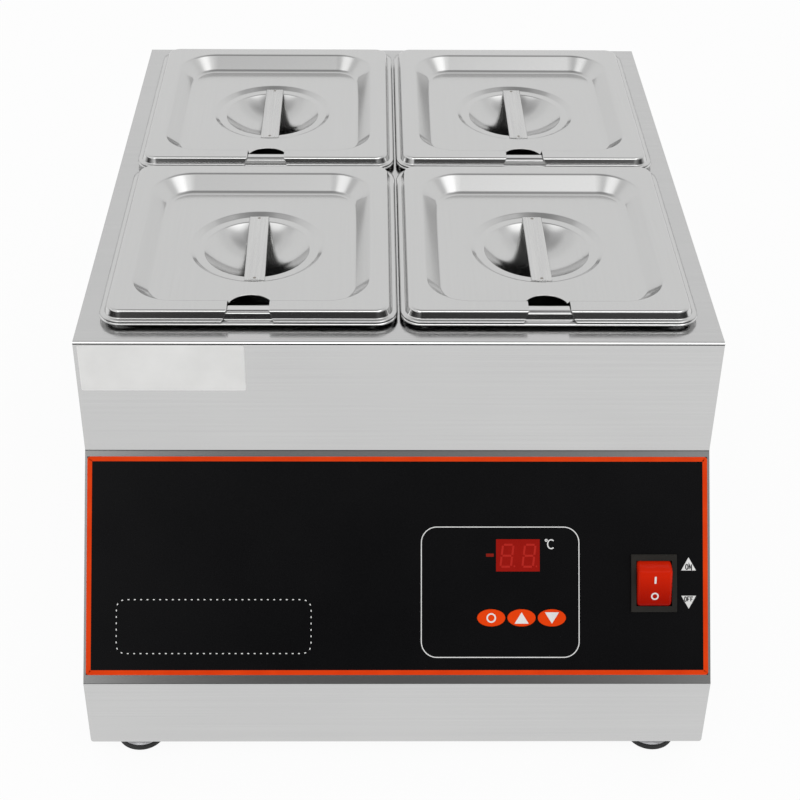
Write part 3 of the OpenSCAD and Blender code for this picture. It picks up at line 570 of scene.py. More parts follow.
@dataclass(frozen=True)
class RimColumns:
    """Columns of a grid that runs round rounded rectangles, counter-clockwise from the middle of the front.

    On a rectangle of half sizes a, b and corner radius r, a column lies at
    x = cx (a - r) + ca r + x0, y = cy (b - r) + sa r, so one set of columns serves every row.
    """

    notch: float
    flank: float
    notch_steps: int = 10
    flank_shares: tuple[float, ...] = (0.06, 0.2, 0.4, 0.7, 1.0)
    free_shares: tuple[float, ...] = (0.3, 0.65, 0.985)
    arc_steps: int = 14
    side_steps: int = 14
    table: Array = field(init=False)

    def __post_init__(self) -> None:
        """Works out the five factors of every column."""
        inner = self.notch * np.sin(np.radians(np.linspace(0.0, 90.0, self.notch_steps + 1)))
        outer = self.notch + (self.flank - self.notch) * np.array(self.flank_shares)
        x = np.concatenate([inner, outer])
        fixed = self.rows(x * 0, x * 0, x, x * 0 - 1, x * 0 - 1)
        t = np.array(self.free_shares)
        free = self.rows(t, t * 0, self.flank * (1 - t), t * 0 - 1, t * 0 - 1)
        front = np.concatenate([fixed, free])
        mirror = front[::-1] * np.array([-1.0, -1.0, -1.0, 1.0, 1.0])
        s = np.linspace(-t[-1], t[-1], self.side_steps)
        one = np.ones_like(s)
        parts = [
            front, self.corner(1, -1, -90.0), self.rows(one, one, one * 0, s, one * 0),
            self.corner(1, 1, 0.0), self.rows(-s, one * 0, one * 0, one, one),
            self.corner(-1, 1, 90.0), self.rows(-one, -one, one * 0, -s, one * 0),
            self.corner(-1, -1, 180.0), mirror[:-1],
        ]
        object.__setattr__(self, "table", np.concatenate(parts).T)

    @staticmethod
    def rows(*factors: Array) -> Array:
        """Stacks the five factors of some columns."""
        return np.stack(factors, 1)

    def corner(self, sx: int, sy: int, start: float) -> Array:
        """Columns of the quarter turn that starts at an angle, round the corner on the sides sx, sy."""
        a = np.radians(np.linspace(start, start + 90.0, self.arc_steps + 1))
        return self.rows(np.full_like(a, sx), np.cos(a), a * 0, np.full_like(a, sy), np.sin(a))

    def spread(self, a: Array, b: Array, r: Array) -> tuple[Array, Array]:
        """Places every column on a row of rectangles.

        Args:
            a, b, r: Half widths, half lengths and corner radii, one a row.

        Returns:
            x and y as (rows, columns).
        """
        cx, ca, x0, cy, sa = self.table
        a, b, r = a[:, None], b[:, None], r[:, None]
        return cx * (a - r) + ca * r + x0, cy * (b - r) + sa * r


@dataclass
class Dish:
    """What a pan and its lid share: a pressed sheet with a lip, a step and a flat rim."""

    tank: Tank
    node: str
    lip_w: float
    step: float
    sheet: float = 0.8
    lip_r: float = 12.0
    draft: float = 1.0
    bends: Pair = (0.8, 1.4)
    edge_bend: float = 1.6
    sink: float = 0.0

    def __post_init__(self) -> None:
        """Takes the middle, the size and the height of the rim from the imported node."""
        lo, hi = (np.array(corner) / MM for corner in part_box(self.node))
        self.middle = (lo + hi) / 2
        self.width, self.length, _ = hi - lo
        self.top = hi[2] - self.sink

    def rim(self) -> list[Pair]:
        """Corners of the lip and step, as inset and height from the rim."""
        return [(0.0, -self.step), (self.lip_w, -self.step), (self.lip_w + self.draft, 0.0)]

    def corner_radii(self, d: Array, edge: float, wall_r: float) -> Array:
        """Corner radius of every row: it falls on the lip, opens across the rim and falls down the wall.

        Args:
            d: Insets of the rows.
            edge: Inset of the wall's upper edge.
            wall_r: Corner radius there.

        Returns:
            Radii, one a row.
        """
        plate = self.lip_w + self.draft + self.bends[1]
        radii = [self.lip_r, self.lip_r - plate, wall_r + self.edge_bend, wall_r - d[-1] + edge]
        return np.interp(d, [0.0, plate, edge - self.edge_bend, d[-1]], radii)

    def placed(self, x: Array, y: Array, z: Array) -> Array:
        """Points of a grid about the node's middle and the height of its rim."""
        return np.stack([x + self.middle[0], y + self.middle[1], z + self.top], -1).reshape(-1, 3)


@dataclass
class Pan(Dish):
    """Pressed pan: lip, step, flat rim, walls with draft and a flat floor."""

    lip_w: float = 4.6
    step: float = 4.0
    sink: float = 1.3
    sheet: float = 0.7
    wall_in: float = 13.9
    wall_r: float = 24.0
    wall_draft: float = 6.0
    depth: float = 97.9
    floor_r: float = 8.0

    def build(self, columns: RimColumns) -> Object:
        """Carries the pan's profile round its outline, then draws the floor in to its middle.

        Inset d of the profile shrinks the outline on all sides. The floor rows are the last outline times
        0.6, 0.3 and 0.

        Args:
            columns: Columns round the outline.

        Returns:
            The pan.
        """
        foot = self.wall_in + self.wall_draft
        end = foot + self.floor_r + 1.0
        path = [*self.rim(), (self.wall_in, 0.0), (foot, -self.depth), (end, -self.depth)]
        d, z = bent(path, [*self.bends, self.edge_bend, self.floor_r], steps=4, hold=0.25).T
        r = self.corner_radii(d, self.wall_in, self.wall_r)
        x, y = columns.spread(self.width / 2 - d, self.length / 2 - d, r)
        shrink = np.array([0.6, 0.3, 0.0])[:, None]
        x = np.concatenate([x, x[-1:] * shrink])
        y = np.concatenate([y, y[-1:] * shrink])
        z = np.append(z, [z[-1]] * len(shrink))[:, None] + x * 0
        points, quads = self.placed(x, y, z), grid_quads(*x.shape, True)
        name, body = "pressed_" + self.node, f"tray_{self.tank.place}"
        pan = add_piece(name, points, quads, PAN_STEEL, body, self.sheet)
        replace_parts(pan, self.node)
        return pan


@dataclass
class Lid(Dish):
    """Pressed lid: lip, step, flat border, recess with a round step and a finger bowl, ladle notch, strap."""

    lip_w: float = 2.5
    draft: float = 2.0
    step: float = 4.6
    border_w: float = 10.0
    bends: Pair = (0.8, 1.8)
    edge_bend: float = 3.0
    recess_run: float = 10.2
    recess_h: float = 8.9
    recess_r: float = 25.0
    recess_foot: float = 5.0
    ring_r: float = 40.0
    ring_h: float = 2.0
    ring_run: float = 3.4
    ring_bend: float = 2.0
    ring_margin: float = 5.0
    bowl_r: float = 31.75
    bowl_h: float = 11.6
    bowl_bend: float = 1.8
    bowl_lead: float = 3.0
    bowl_skip: float = 2.0
    notch_w: float = 23.4
    notch_l: float = 33.9
    notch_bow: float = 7.0
    cut_hold: float = 0.12
    mouth: float = 14.5
    flank: float = 20.0
    strap_w: float = 12.0
    strap_t: float = 1.5
    strap_edge: float = 0.55
    strap_in: float = 0.3
    strap_dy: float = -1.0
    weld_r: float = 1.2
    weld_h: float = 0.2
    weld_sink: float = 0.02
    weld_in: float = 2.4

    def bowl(self) -> Array:
        """Profile of the round step and the bowl: bends, then a part of a ball.

        Returns:
            Radii and heights as (n, 2), from the outside in.
        """
        ball = (self.bowl_r**2 + self.bowl_h**2) / (2 * self.bowl_h)
        half = math.asin(self.bowl_r / ball)
        floor, flat = -self.recess_h, -self.recess_h - self.ring_h
        lead = self.bowl_lead
        path = [
            (self.ring_r + self.ring_margin, floor), (self.ring_r, floor),
            (self.ring_r - self.ring_run, flat), (self.bowl_r, flat),
            (self.bowl_r - lead * math.cos(half), flat - lead * math.sin(half))]
        edge = bent(path, [self.ring_bend, self.ring_bend, self.bowl_bend], steps=4, hold=0.15)[:-1]
        a = np.linspace(half - self.bowl_skip / ball, 0.0, 18)
        dish = np.stack([ball * np.sin(a), flat - self.bowl_h + ball * (1 - np.cos(a))], 1)
        return np.concatenate([edge, dish])

    def build(self, columns: RimColumns) -> Object:
        """Carries the lid's profile round its outline and leaves the notch open.

        Inset d of the profile shrinks the outline, as on the pan. On the columns of the notch no point has
        an inset under n(x) = l - r + sqrt(r^2 - x^2), with r the radius of its bowed end, so their rows
        before it fall together and are welded away, and the faces along the notch's straight sides are left
        out. A row just behind the cut holds the sheet flat there. Beside it the columns move out towards the
        mouth at the lip. From the recess floor on, the rows are circles through the directions of the
        columns, and the last one is a point.

        Args:
            columns: Columns round the outline.

        Returns:
            The lid.
        """
        inset = self.lip_w + self.draft
        recess = inset + self.border_w
        foot = recess + self.recess_run
        path = [*self.rim(), (recess, 0.0), (foot, -self.recess_h), (self.notch_l + 3.0, -self.recess_h)]
        bends, z = bent(path, [*self.bends, self.edge_bend, self.recess_foot], steps=4, hold=0.2).T
        half, start = self.notch_w / 2, self.notch_l - self.notch_bow
        bow_r = (half**2 + self.notch_bow**2) / (2 * self.notch_bow)
        behind = start + 0.01
        d = np.sort(np.append(bends, [start, behind]))
        z = np.interp(d, bends, z)
        r = self.corner_radii(d, recess, self.recess_r)
        x, y = columns.spread(self.width / 2 - d, self.length / 2 - d, r)
        x0 = np.where(columns.table[:2].any(axis=0), self.flank, columns.table[2])
        inner = np.abs(x0) < half - TINY
        reach = self.notch_l - bow_r + np.sqrt(np.maximum(bow_r**2 - x0**2, 0.0))
        cut = d[:, None] < reach
        held = np.where(cut & ~np.roll(cut, -1, axis=0), reach + self.cut_hold, np.maximum(d[:, None], reach))
        deep = np.where(inner, held, d[:, None])
        y = np.where(inner, deep - self.length / 2, y)
        height = np.interp(deep, d, z)
        lip = half + (self.mouth - half) * np.clip((inset - d) / (inset - self.lip_w / 2), 0, 1)
        side = (np.abs(x0) < self.flank) & ~inner
        moved = self.flank - (self.flank - np.abs(x0)) * (self.flank - lip[:, None]) / (self.flank - half)
        x = np.where(side, np.sign(x0) * moved, x)
        ring = self.bowl()
        way = np.arctan2(y[-1], x[-1])
        x = np.concatenate([x, ring[:, :1] * np.cos(way)])
        y = np.concatenate([y, ring[:, :1] * np.sin(way)])
        height = np.concatenate([height, ring[:, 1:] + way * 0])
        gone = np.zeros((len(x) - 1, len(x0)), bool)
        gone[:len(d) - 1] = (d[1:, None] < start + TINY) & (inner | np.roll(inner, -1))
        points, quads = self.placed(x, y, height), grid_quads(*x.shape, True)[~gone.reshape(-1)]
        name, body = "pressed_" + self.node, f"cover_{self.tank.place}"
        lid = add_piece(name, points, quads, LID_STEEL, body, self.sheet)
        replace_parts(lid, self.node)
        return lid

    def strap(self) -> Object:
        """Strap across the bowl: a flat bar with soft edges whose ends follow the round step.

        A point of the bar's section (x, z) runs along y from -e(x) to e(x), e(x) = sqrt(R^2 - x^2), with R
        just inside the step. The end rows draw the section in, and a middle point closes each end.

        Returns:
            The strap.
        """
        side = self.strap_w / 2
        outline = rounded_box((-side, 0.0), (side, self.strap_t), self.strap_edge, 4)
        middle = np.array([0.0, self.strap_t / 2])
        reach = self.ring_r - self.ring_run - self.strap_in
        along = np.array([1.0, 1.0, 0.997, 0.99, 0.5, 0.0, -0.5, -0.99, -0.997, -1.0, -1.0])
        size = np.array([0.0, 0.94, 0.985, 1.0, 1.0, 1.0, 1.0, 1.0, 0.985, 0.94, 0.0])
        section = middle + (outline - middle) * size[:, None, None]
        x, z = section[..., 0], section[..., 1]
        y = along[:, None] * np.sqrt(reach**2 - x**2) + self.strap_dy
        return self.lay("strap", x, y, z, grid_quads(*x.shape, True), STRAP_STEEL)

    def welds(self) -> Object:
        """Weld spots near both ends of the strap: low domes, h = c (1 - q^2)^2 at share q of their radius.

        Returns:
            Both spots as one piece.
        """
        q = np.array([1.0, 0.85, 0.6, 0.3, 0.0])[:, None]
        a = np.radians(np.arange(0.0, 360.0, 22.5))[None, :]
        far = self.ring_r - self.ring_run - self.strap_in - self.weld_in
        x, y = self.weld_r * q * np.cos(a), self.weld_r * q * np.sin(a)
        z = self.strap_t - self.weld_sink + self.weld_h * (1 - q**2) ** 2 + a * 0
        quads = grid_quads(*x.shape, True)
        x, z = np.concatenate([x, x]), np.concatenate([z, z])
        y = np.concatenate([y - far, y + far]) + self.strap_dy
        return self.lay("strap_welds", x, y, z, np.concatenate([quads, quads + x.size // 2]), WELD_STEEL)

    def lay(self, name: str, x: Array, y: Array, z: Array, quads: Array, finish: Finish) -> Object:
        """Turns a piece of the handle to the strap's angle and lays it on the round step.

        Args:
            name: Name of the piece, before the tank's.
            x, y, z: Across and along the strap, and up from the floor of the step.
            quads: Corner numbers of its faces.
            finish: What the piece is dressed in.

        Returns:
            The piece.
        """
        c, s = math.cos(self.tank.turn), math.sin(self.tank.turn)
        points = self.placed(x * c - y * s, x * s + y * c, z - self.recess_h - self.ring_h)
        place = self.tank.place
        return add_piece(f"{name}_{place}", points, quads, finish, f"cover_{place}")


@dataclass
class PanSet:
    """The four pans, lids and handles."""

    tanks: tuple[Tank, ...] = tuple(Tank)

    def build(self) -> None:
        """Builds every pan, lid, strap and its weld spots."""
        columns = RimColumns(notch=Lid.notch_w / 2, flank=Lid.flank)
        for tank in self.tanks:
            Pan(tank, f"pan_{tank.place}").build(columns)
            lid = Lid(tank, f"lid_{tank.place}")
            lid.build(columns)
            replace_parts(lid.strap(), f"lid_handle_{tank.place}")
            lid.welds()


# ---- case and panel


@dataclass
class Case:
    """Folded case, sides, back, bottom, feet and what is screwed to them."""

    label_lo: Pair = (-175.4, 208.3)
    label_hi: Pair = (-84.5, 238.7)
    label_r: float = 1.2
    label_t: float = 0.1
    label_lift: float = 0.12
    face_y: float = -159.1

    def dress(self) -> None:
        """Gives the sheet metal, the feet and the fasteners their finishes."""
        dress_nodes(CASE_STEEL, "case_wrap", "back_panel")
        dress_nodes(SIDE_STEEL, "side_left", "side_right")
        dress_nodes(BASE_STEEL, "base_plate")
        dress_nodes(FOOT_RUBBER, *(f"foot_{tank.place}" for tank in Tank))
        dress_nodes(FASTENER_STEEL, "foot_discs", "foot_screws", "foot_nuts", "back_screws", "base_screws")
        dress_nodes(BLACK_PLASTIC, "cord_gland", "gland_locknut")

    def build(self) -> Object:
        """Blank paper label on the upper face: a rounded outline filled from its middle.

        Returns:
            The label.
        """
        flat, quads = patch(rounded_box(self.label_lo, self.label_hi, self.label_r))
        points = np.insert(flat, 1, self.face_y - self.label_lift, axis=1)
        return add_piece(
            "blank_label", points, quads, LABEL_PAPER, "root", self.label_t, False)


@dataclass
class Heating:
    """Wells, pads, cutouts and probe inside the case."""

    def dress(self) -> None:
        """Gives the heating parts their finishes."""
        dress_nodes(WELL_ALUMINIUM, *(f"well_{tank.place}" for tank in Tank))
        dress_nodes(SILICONE, *(f"heater_{tank.place}" for tank in Tank))
        dress_nodes(CERAMIC, "thermal_cutouts")
        dress_nodes(FASTENER_STEEL, "temperature_probe", "probe_clip")


@dataclass
class Panel:
    """Sloping panel with its film, print, display, buttons and switch.

    Places on it are x to the right, v up the slope from its upper fold (so below 0) and h outwards.
    """

    fold_y: float = -159.1
    fold_z: float = 166.2
    run: float = 76.0
    drop: float = 108.0
    film: float = 0.5
    film_x: float = 176.1
    film_v: Pair = (-126.76, -3.6)
    ink: float = 0.05
    stripe: float = 2.7
    stripe_r: float = 0.4
    frame_lo: Pair = (13.4, -116.9)
    frame_hi: Pair = (102.9, -43.4)
    frame_r: float = 8.8
    frame_line: float = 0.52
    dotted_lo: Pair = (-159.1, -114.7)
    dotted_hi: Pair = (-49.0, -84.4)
    dotted_r: float = 5.0
    dotted_dash: Triple = (3.58, 1.0, 0.55)
    degree: Pair = (84.3, -50.9)
    degree_d: float = 1.15
    degree_line: float = 0.5
    letter: Pair = (87.1, -53.1)
    letter_size: Pair = (4.0, 5.0)
    letter_turn: Pair = (48.0, 312.0)
    letter_line: float = 0.65
    minus_lo: Pair = (50.1, -60.2)
    minus_hi: Pair = (54.5, -58.4)
    minus_r: float = 0.2
    display: Pair = (68.2, -59.4)
    digits: Pair = (-6.2, 6.3)
    digit_v: float = -0.2
    digit_size: Pair = (6.0, 12.4)
    digit_gap: float = 0.55
    digit_lean: float = 7.0
    digit_line: float = 1.15
    point: Pair = (4.2, -6.2)
    point_d: float = 1.0
    triangle_x: Pair = (161.0, 169.4)
    triangle_on: Pair = (-67.9, -60.5)
    triangle_off: Pair = (-82.2, -89.5)
    word_on: Pair = (2.0, 2.8)
    word_off: Pair = (-1.9, 2.5)
    word_lift: float = 0.03
    buttons: tuple[float, ...] = (53.0, 70.2, 87.4)
    button_v: float = -94.6
    button_w: float = 15.8
    button_h: float = 9.6
    button_top: float = 1.0
    mark_half: Pair = (4.0, 3.2)
    mark_ring: float = 4.6
    mark_line: float = 0.85
    mark_lift: float = 0.27
    switch: Pair = (145.3, -75.0)
    bezel_edge: float = 0.3
    pivot_h: float = -3.5
    barrel_r: float = 13.775
    face_r: float = 9.504
    rocker_w: float = 19.6
    rocker_edge: float = 2.0
    rocker_tilt: float = 15.0
    rocker_span: float = 102.0
    rocker_blend: float = 0.2
    bar_lo: Pair = (-0.55, 3.0)
    bar_hi: Pair = (0.55, 7.2)
    bar_r: float = 0.25
    ring_d: float = 3.55
    ring_w: float = -4.6

    def place(self, x: Array, v: Array, h: Array) -> Array:
        """Points in the frame for places on the panel.

        Args:
            x, v, h: Places across it, along its slope and out of it.

        Returns:
            Points as (n, 3).
        """
        size = math.hypot(self.run, self.drop)
        lean_y, lean_z = self.run / size, self.drop / size
        y = self.fold_y + v * lean_y - h * lean_z
        z = self.fold_z + v * lean_z + h * lean_y
        return np.stack(np.broadcast_arrays(x, y, z), -1).reshape(-1, 3)

    def printed(
        self, name: str, shapes: Iterable[Flat], finish: Finish = WHITE_INK,
        lift: float = 0.0, body: str = "root",
    ) -> None:
        """Lays flat shapes on the panel as a thin film of ink.

        Args:
            name: Name of the piece.
            shapes: Shapes in x and v.
            finish: Finish of the print.
            lift: Height of its face above that of print on the film.
            body: Body that it moves with.
        """
        flat, quads = merged(shapes)
        points = self.place(flat[:, 0], flat[:, 1], self.film + self.ink + lift)
        add_piece(name, points, quads, finish, body, self.ink, False)

    def dress(self) -> None:
        """Gives the film, the display, the board and the switch their finishes and soft edges."""
        dress_nodes(OVERLAY_BLACK, "panel_overlay")
        dress_nodes(DISPLAY_RED, "display_window")
        dress_nodes(BLACK_PLASTIC, "display_module", "tact_switches")
        dress_nodes(BOARD_GREEN, "control_board")
        dress_nodes(BRASS, "board_standoffs")
        dress_nodes(FASTENER_STEEL, "board_screws", "switch_blades")
        dress_nodes(RELAY_BLUE, "relay")
        dress_nodes(CORE_IRON, "transformer")
        dress_nodes(TERMINAL_GREEN, "terminal_block")
        dress_nodes(BUTTON_ORANGE, "set_button", "up_button", "down_button")
        dress_nodes(BEZEL_BLACK, "switch_housing")
        soften("switch_housing", self.bezel_edge, 2)

    def build(self) -> None:
        """Builds the print, the display's segments, the button caps and the marks on the switch."""
        edge = self.stripe / 2
        lo = (-self.film_x + edge, self.film_v[0] + edge)
        box = rounded_box(lo, (self.film_x - edge, self.film_v[1] - edge), self.stripe_r, 2)
        self.printed("orange_stripe", [ribbon(box, self.stripe, True)], ORANGE_INK)
        line = rounded_box(self.frame_lo, self.frame_hi, self.frame_r, 12)
        self.printed("thermostat_frame", [ribbon(line, self.frame_line, True)])
        dotted = rounded_box(self.dotted_lo, self.dotted_hi, self.dotted_r)
        self.printed("dotted_frame", [dashes(dotted, *self.dotted_dash)])
        ring = ribbon(oval(self.degree_d, self.degree_d, self.degree, 16), self.degree_line, True)
        bow = oval(*self.letter_size, self.letter, 26, self.letter_turn)
        self.printed("degree_mark", [ring, ribbon(bow, self.letter_line, False)])
        minus = patch(rounded_box(self.minus_lo, self.minus_hi, self.minus_r, 2))
        self.printed("minus_mark", [minus], MINUS_INK)
        digits = [shape for x in self.digits for shape in self.digit(x)]
        self.printed("display_digits", digits, SEGMENT_RED)
        self.switch_marks()
        for place, name in zip(self.buttons, ("set", "up", "down")):
            self.button(place, name)
        self.rocker()
        self.rocker_marks()

    def digit(self, x: float) -> list[Flat]:
        """Seven segments of a leaning digit about a place in the display, and its point.

        Args:
            x: Middle of the digit from the middle of the display.

        Returns:
            Shapes in x and v.
        """
        (w, h), lean = self.digit_size, math.tan(math.radians(self.digit_lean))
        middle = np.array(self.display) + (x, self.digit_v)
        point = np.array(self.display) + (x + self.point[0], self.point[1])
        ends = [((0, 2), (1, 2)), ((0, 1), (1, 1)), ((0, 0), (1, 0)), ((0, 0), (0, 1)), ((0, 1), (0, 2)),
                ((1, 0), (1, 1)), ((1, 1), (1, 2))]
        line = np.array(ends, float) - np.array([0.5, 1.0])
        line *= np.array([w, h / 2])
        along = unit(line[:, 1] - line[:, 0])
        line += np.stack([along, -along], 1) * self.digit_gap
        line[..., 0] += line[..., 1] * lean
        line += middle
        dot = patch(oval(self.point_d, self.point_d, point, 12))
        return [*(ribbon(end, self.digit_line, False) for end in line), dot]

    def switch_marks(self) -> None:
        """White triangles beside the switch, apex up for ON and down for OFF, with dark stroke letters."""
        (x0, x1), (low, high), (top, tip) = self.triangle_x, self.triangle_on, self.triangle_off
        mid = (x0 + x1) / 2
        up = patch(np.array([(x0, low), (x1, low), (mid, high)]))
        down = patch(np.array([(x0, top), (mid, tip), (x1, top)]))
        self.printed("switch_triangles", [up, down])
        words = [
            *self.letters("ON", mid, low + self.word_on[0], self.word_on[1]),
            *self.letters("OFF", mid, top + self.word_off[0], self.word_off[1])]
        self.printed("switch_words", words, DARK_INK, lift=self.word_lift)

    @staticmethod
    def letters(word: str, x: float, v: float, high: float) -> list[Flat]:
        """Stroke letters of a short word about a place.

        Args:
            word: Word made of O, N and F.
            x: Middle of the word.
            v: Middle of its height.
            high: Height of a letter.

        Returns:
            Shapes in x and v.
        """
        wide, pitch, line = 0.48 * high, 0.72 * high, 0.22 * high
        short = 0.2 * wide
        shapes: list[Flat] = []
        for k, sign in enumerate(word):
            cx = x + (k - (len(word) - 1) / 2) * pitch
            l, r, b, t = cx - wide / 2, cx + wide / 2, v - high / 2, v + high / 2
            if sign == "O":
                shapes.append(ribbon(oval(wide, high, (cx, v), 20), line, True))
            elif sign == "N":
                shapes.append(ribbon(np.array([(l, b), (l, t), (r, b), (r, t)]), line, False))
            else:
                shapes.append(ribbon(np.array([(l, b), (l, t), (r, t)]), line, False))
                shapes.append(ribbon(np.array([(l, v), (r - short, v)]), line, False))
        return shapes

    def button(self, x: float, name: str) -> None:
        """Domed cap over a button with its mark: a ring, or a triangle up or down.

        The cap is an oval grid: share q of the oval's half sizes across, and heights h with a round shoulder.

        Args:
            x: Middle of the button.
            name: set, up or down.
        """
        q = np.array([1.012, 1.012, 1.0, 0.97, 0.9, 0.6, 0.3, 0.0])[:, None]
        h = self.button_top + np.array([-0.4, -0.1, 0.04, 0.12, 0.17, 0.21, 0.22, 0.22])[:, None]
        a = np.radians(np.arange(0.0, 360.0, 7.5))[None, :]
        v, body = self.button_v, f"{name}_button_body"
        points = self.place(x + q * self.button_w / 2 * np.cos(a), v + q * self.button_h / 2 * np.sin(a), h)
        quads = grid_quads(len(q), a.size, True)
        add_piece(f"{name}_button_cap", points, quads, BUTTON_ORANGE, body)
        (w, high), lift = self.mark_half, self.button_top + self.mark_lift - self.film - self.ink
        marks = {
            "set": ribbon(oval(self.mark_ring, self.mark_ring, (x, v), 28), self.mark_line, True),
            "up": patch(np.array([(x - w, v - high), (x + w, v - high), (x, v + high)])),
            "down": patch(np.array([(x - w, v + high), (x, v - high), (x + w, v + high)])),
        }
        self.printed(f"{name}_button_mark", [marks[name]], WHITE_INK, lift, body)

    def on_rocker(self, x: Array, w: Array, r: Array) -> Array:
        """Points for places on the rocker, which is tilted by t about the switch's pivot at rest.

        A place lies at v = w cos t - r sin t and h = w sin t + r cos t from the pivot.

        Args:
            x, w, r: Places across it, along its face and out from the pivot.

        Returns:
            Points as (n, 3).
        """
        t = math.radians(self.rocker_tilt)
        v, h = w * math.cos(t) - r * math.sin(t), w * math.sin(t) + r * math.cos(t)
        return self.place(self.switch[0] + x, self.switch[1] + v, self.pivot_h + h)

    def rocker(self) -> None:
        """Rocker in the place of its node: a barrel cut by a flat face, with edges rounded to both sides.

        A column lies at x and is lower by d: x = W - e + e cos p and d = e - e sin p round an edge of radius
        e. At an angle a from the face's normal, w = s sin a and r = s cos a, where s is the smooth least,
        -k log(exp(-b / k) + exp(-c / k)), of the barrel b = R - d and the face c = (f - d) / cos a.
        """
        e, half, k, span = self.rocker_edge, self.rocker_w / 2, self.rocker_blend, self.rocker_span
        p = np.radians(np.arange(0.0, 91.0, 11.25))
        x = np.concatenate([[half, half], half - e + e * np.cos(p)])
        d = np.concatenate([[self.barrel_r, 2.0 * e], e - e * np.sin(p)])
        x, d = np.concatenate([-x, x[::-1]])[None, :], np.concatenate([d, d[::-1]])[None, :]
        a = np.radians(np.concatenate([[-span], np.linspace(-span, span, 103), [span]]))[:, None]
        face = (self.face_r - d) / np.maximum(np.cos(a), 0.05)
        s = np.maximum(-k * np.logaddexp((d - self.barrel_r) / k, -face / k), 0.0)
        s[[0, -1]] = 0.0
        points = self.on_rocker(np.broadcast_to(x, s.shape), s * np.sin(a), s * np.cos(a))
        piece = add_piece(
            "soft_rocker", points, grid_quads(*s.shape, False), ROCKER_RED, "rocker_body")
        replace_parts(piece, "switch_rocker")

    def rocker_marks(self) -> None:
        """Bar and ring on the rocker's face."""
        bar = patch(rounded_box(self.bar_lo, self.bar_hi, self.bar_r, 3))
        ring = ribbon(oval(self.ring_d, self.ring_d, (0.0, self.ring_w), 28), self.mark_line, True)
        flat, quads = merged([bar, ring])
        points = self.on_rocker(flat[:, 0], flat[:, 1], self.face_r + self.ink)
        add_piece("rocker_marks", points, quads, WHITE_INK, "rocker_body", self.ink, False)


# ---- studio


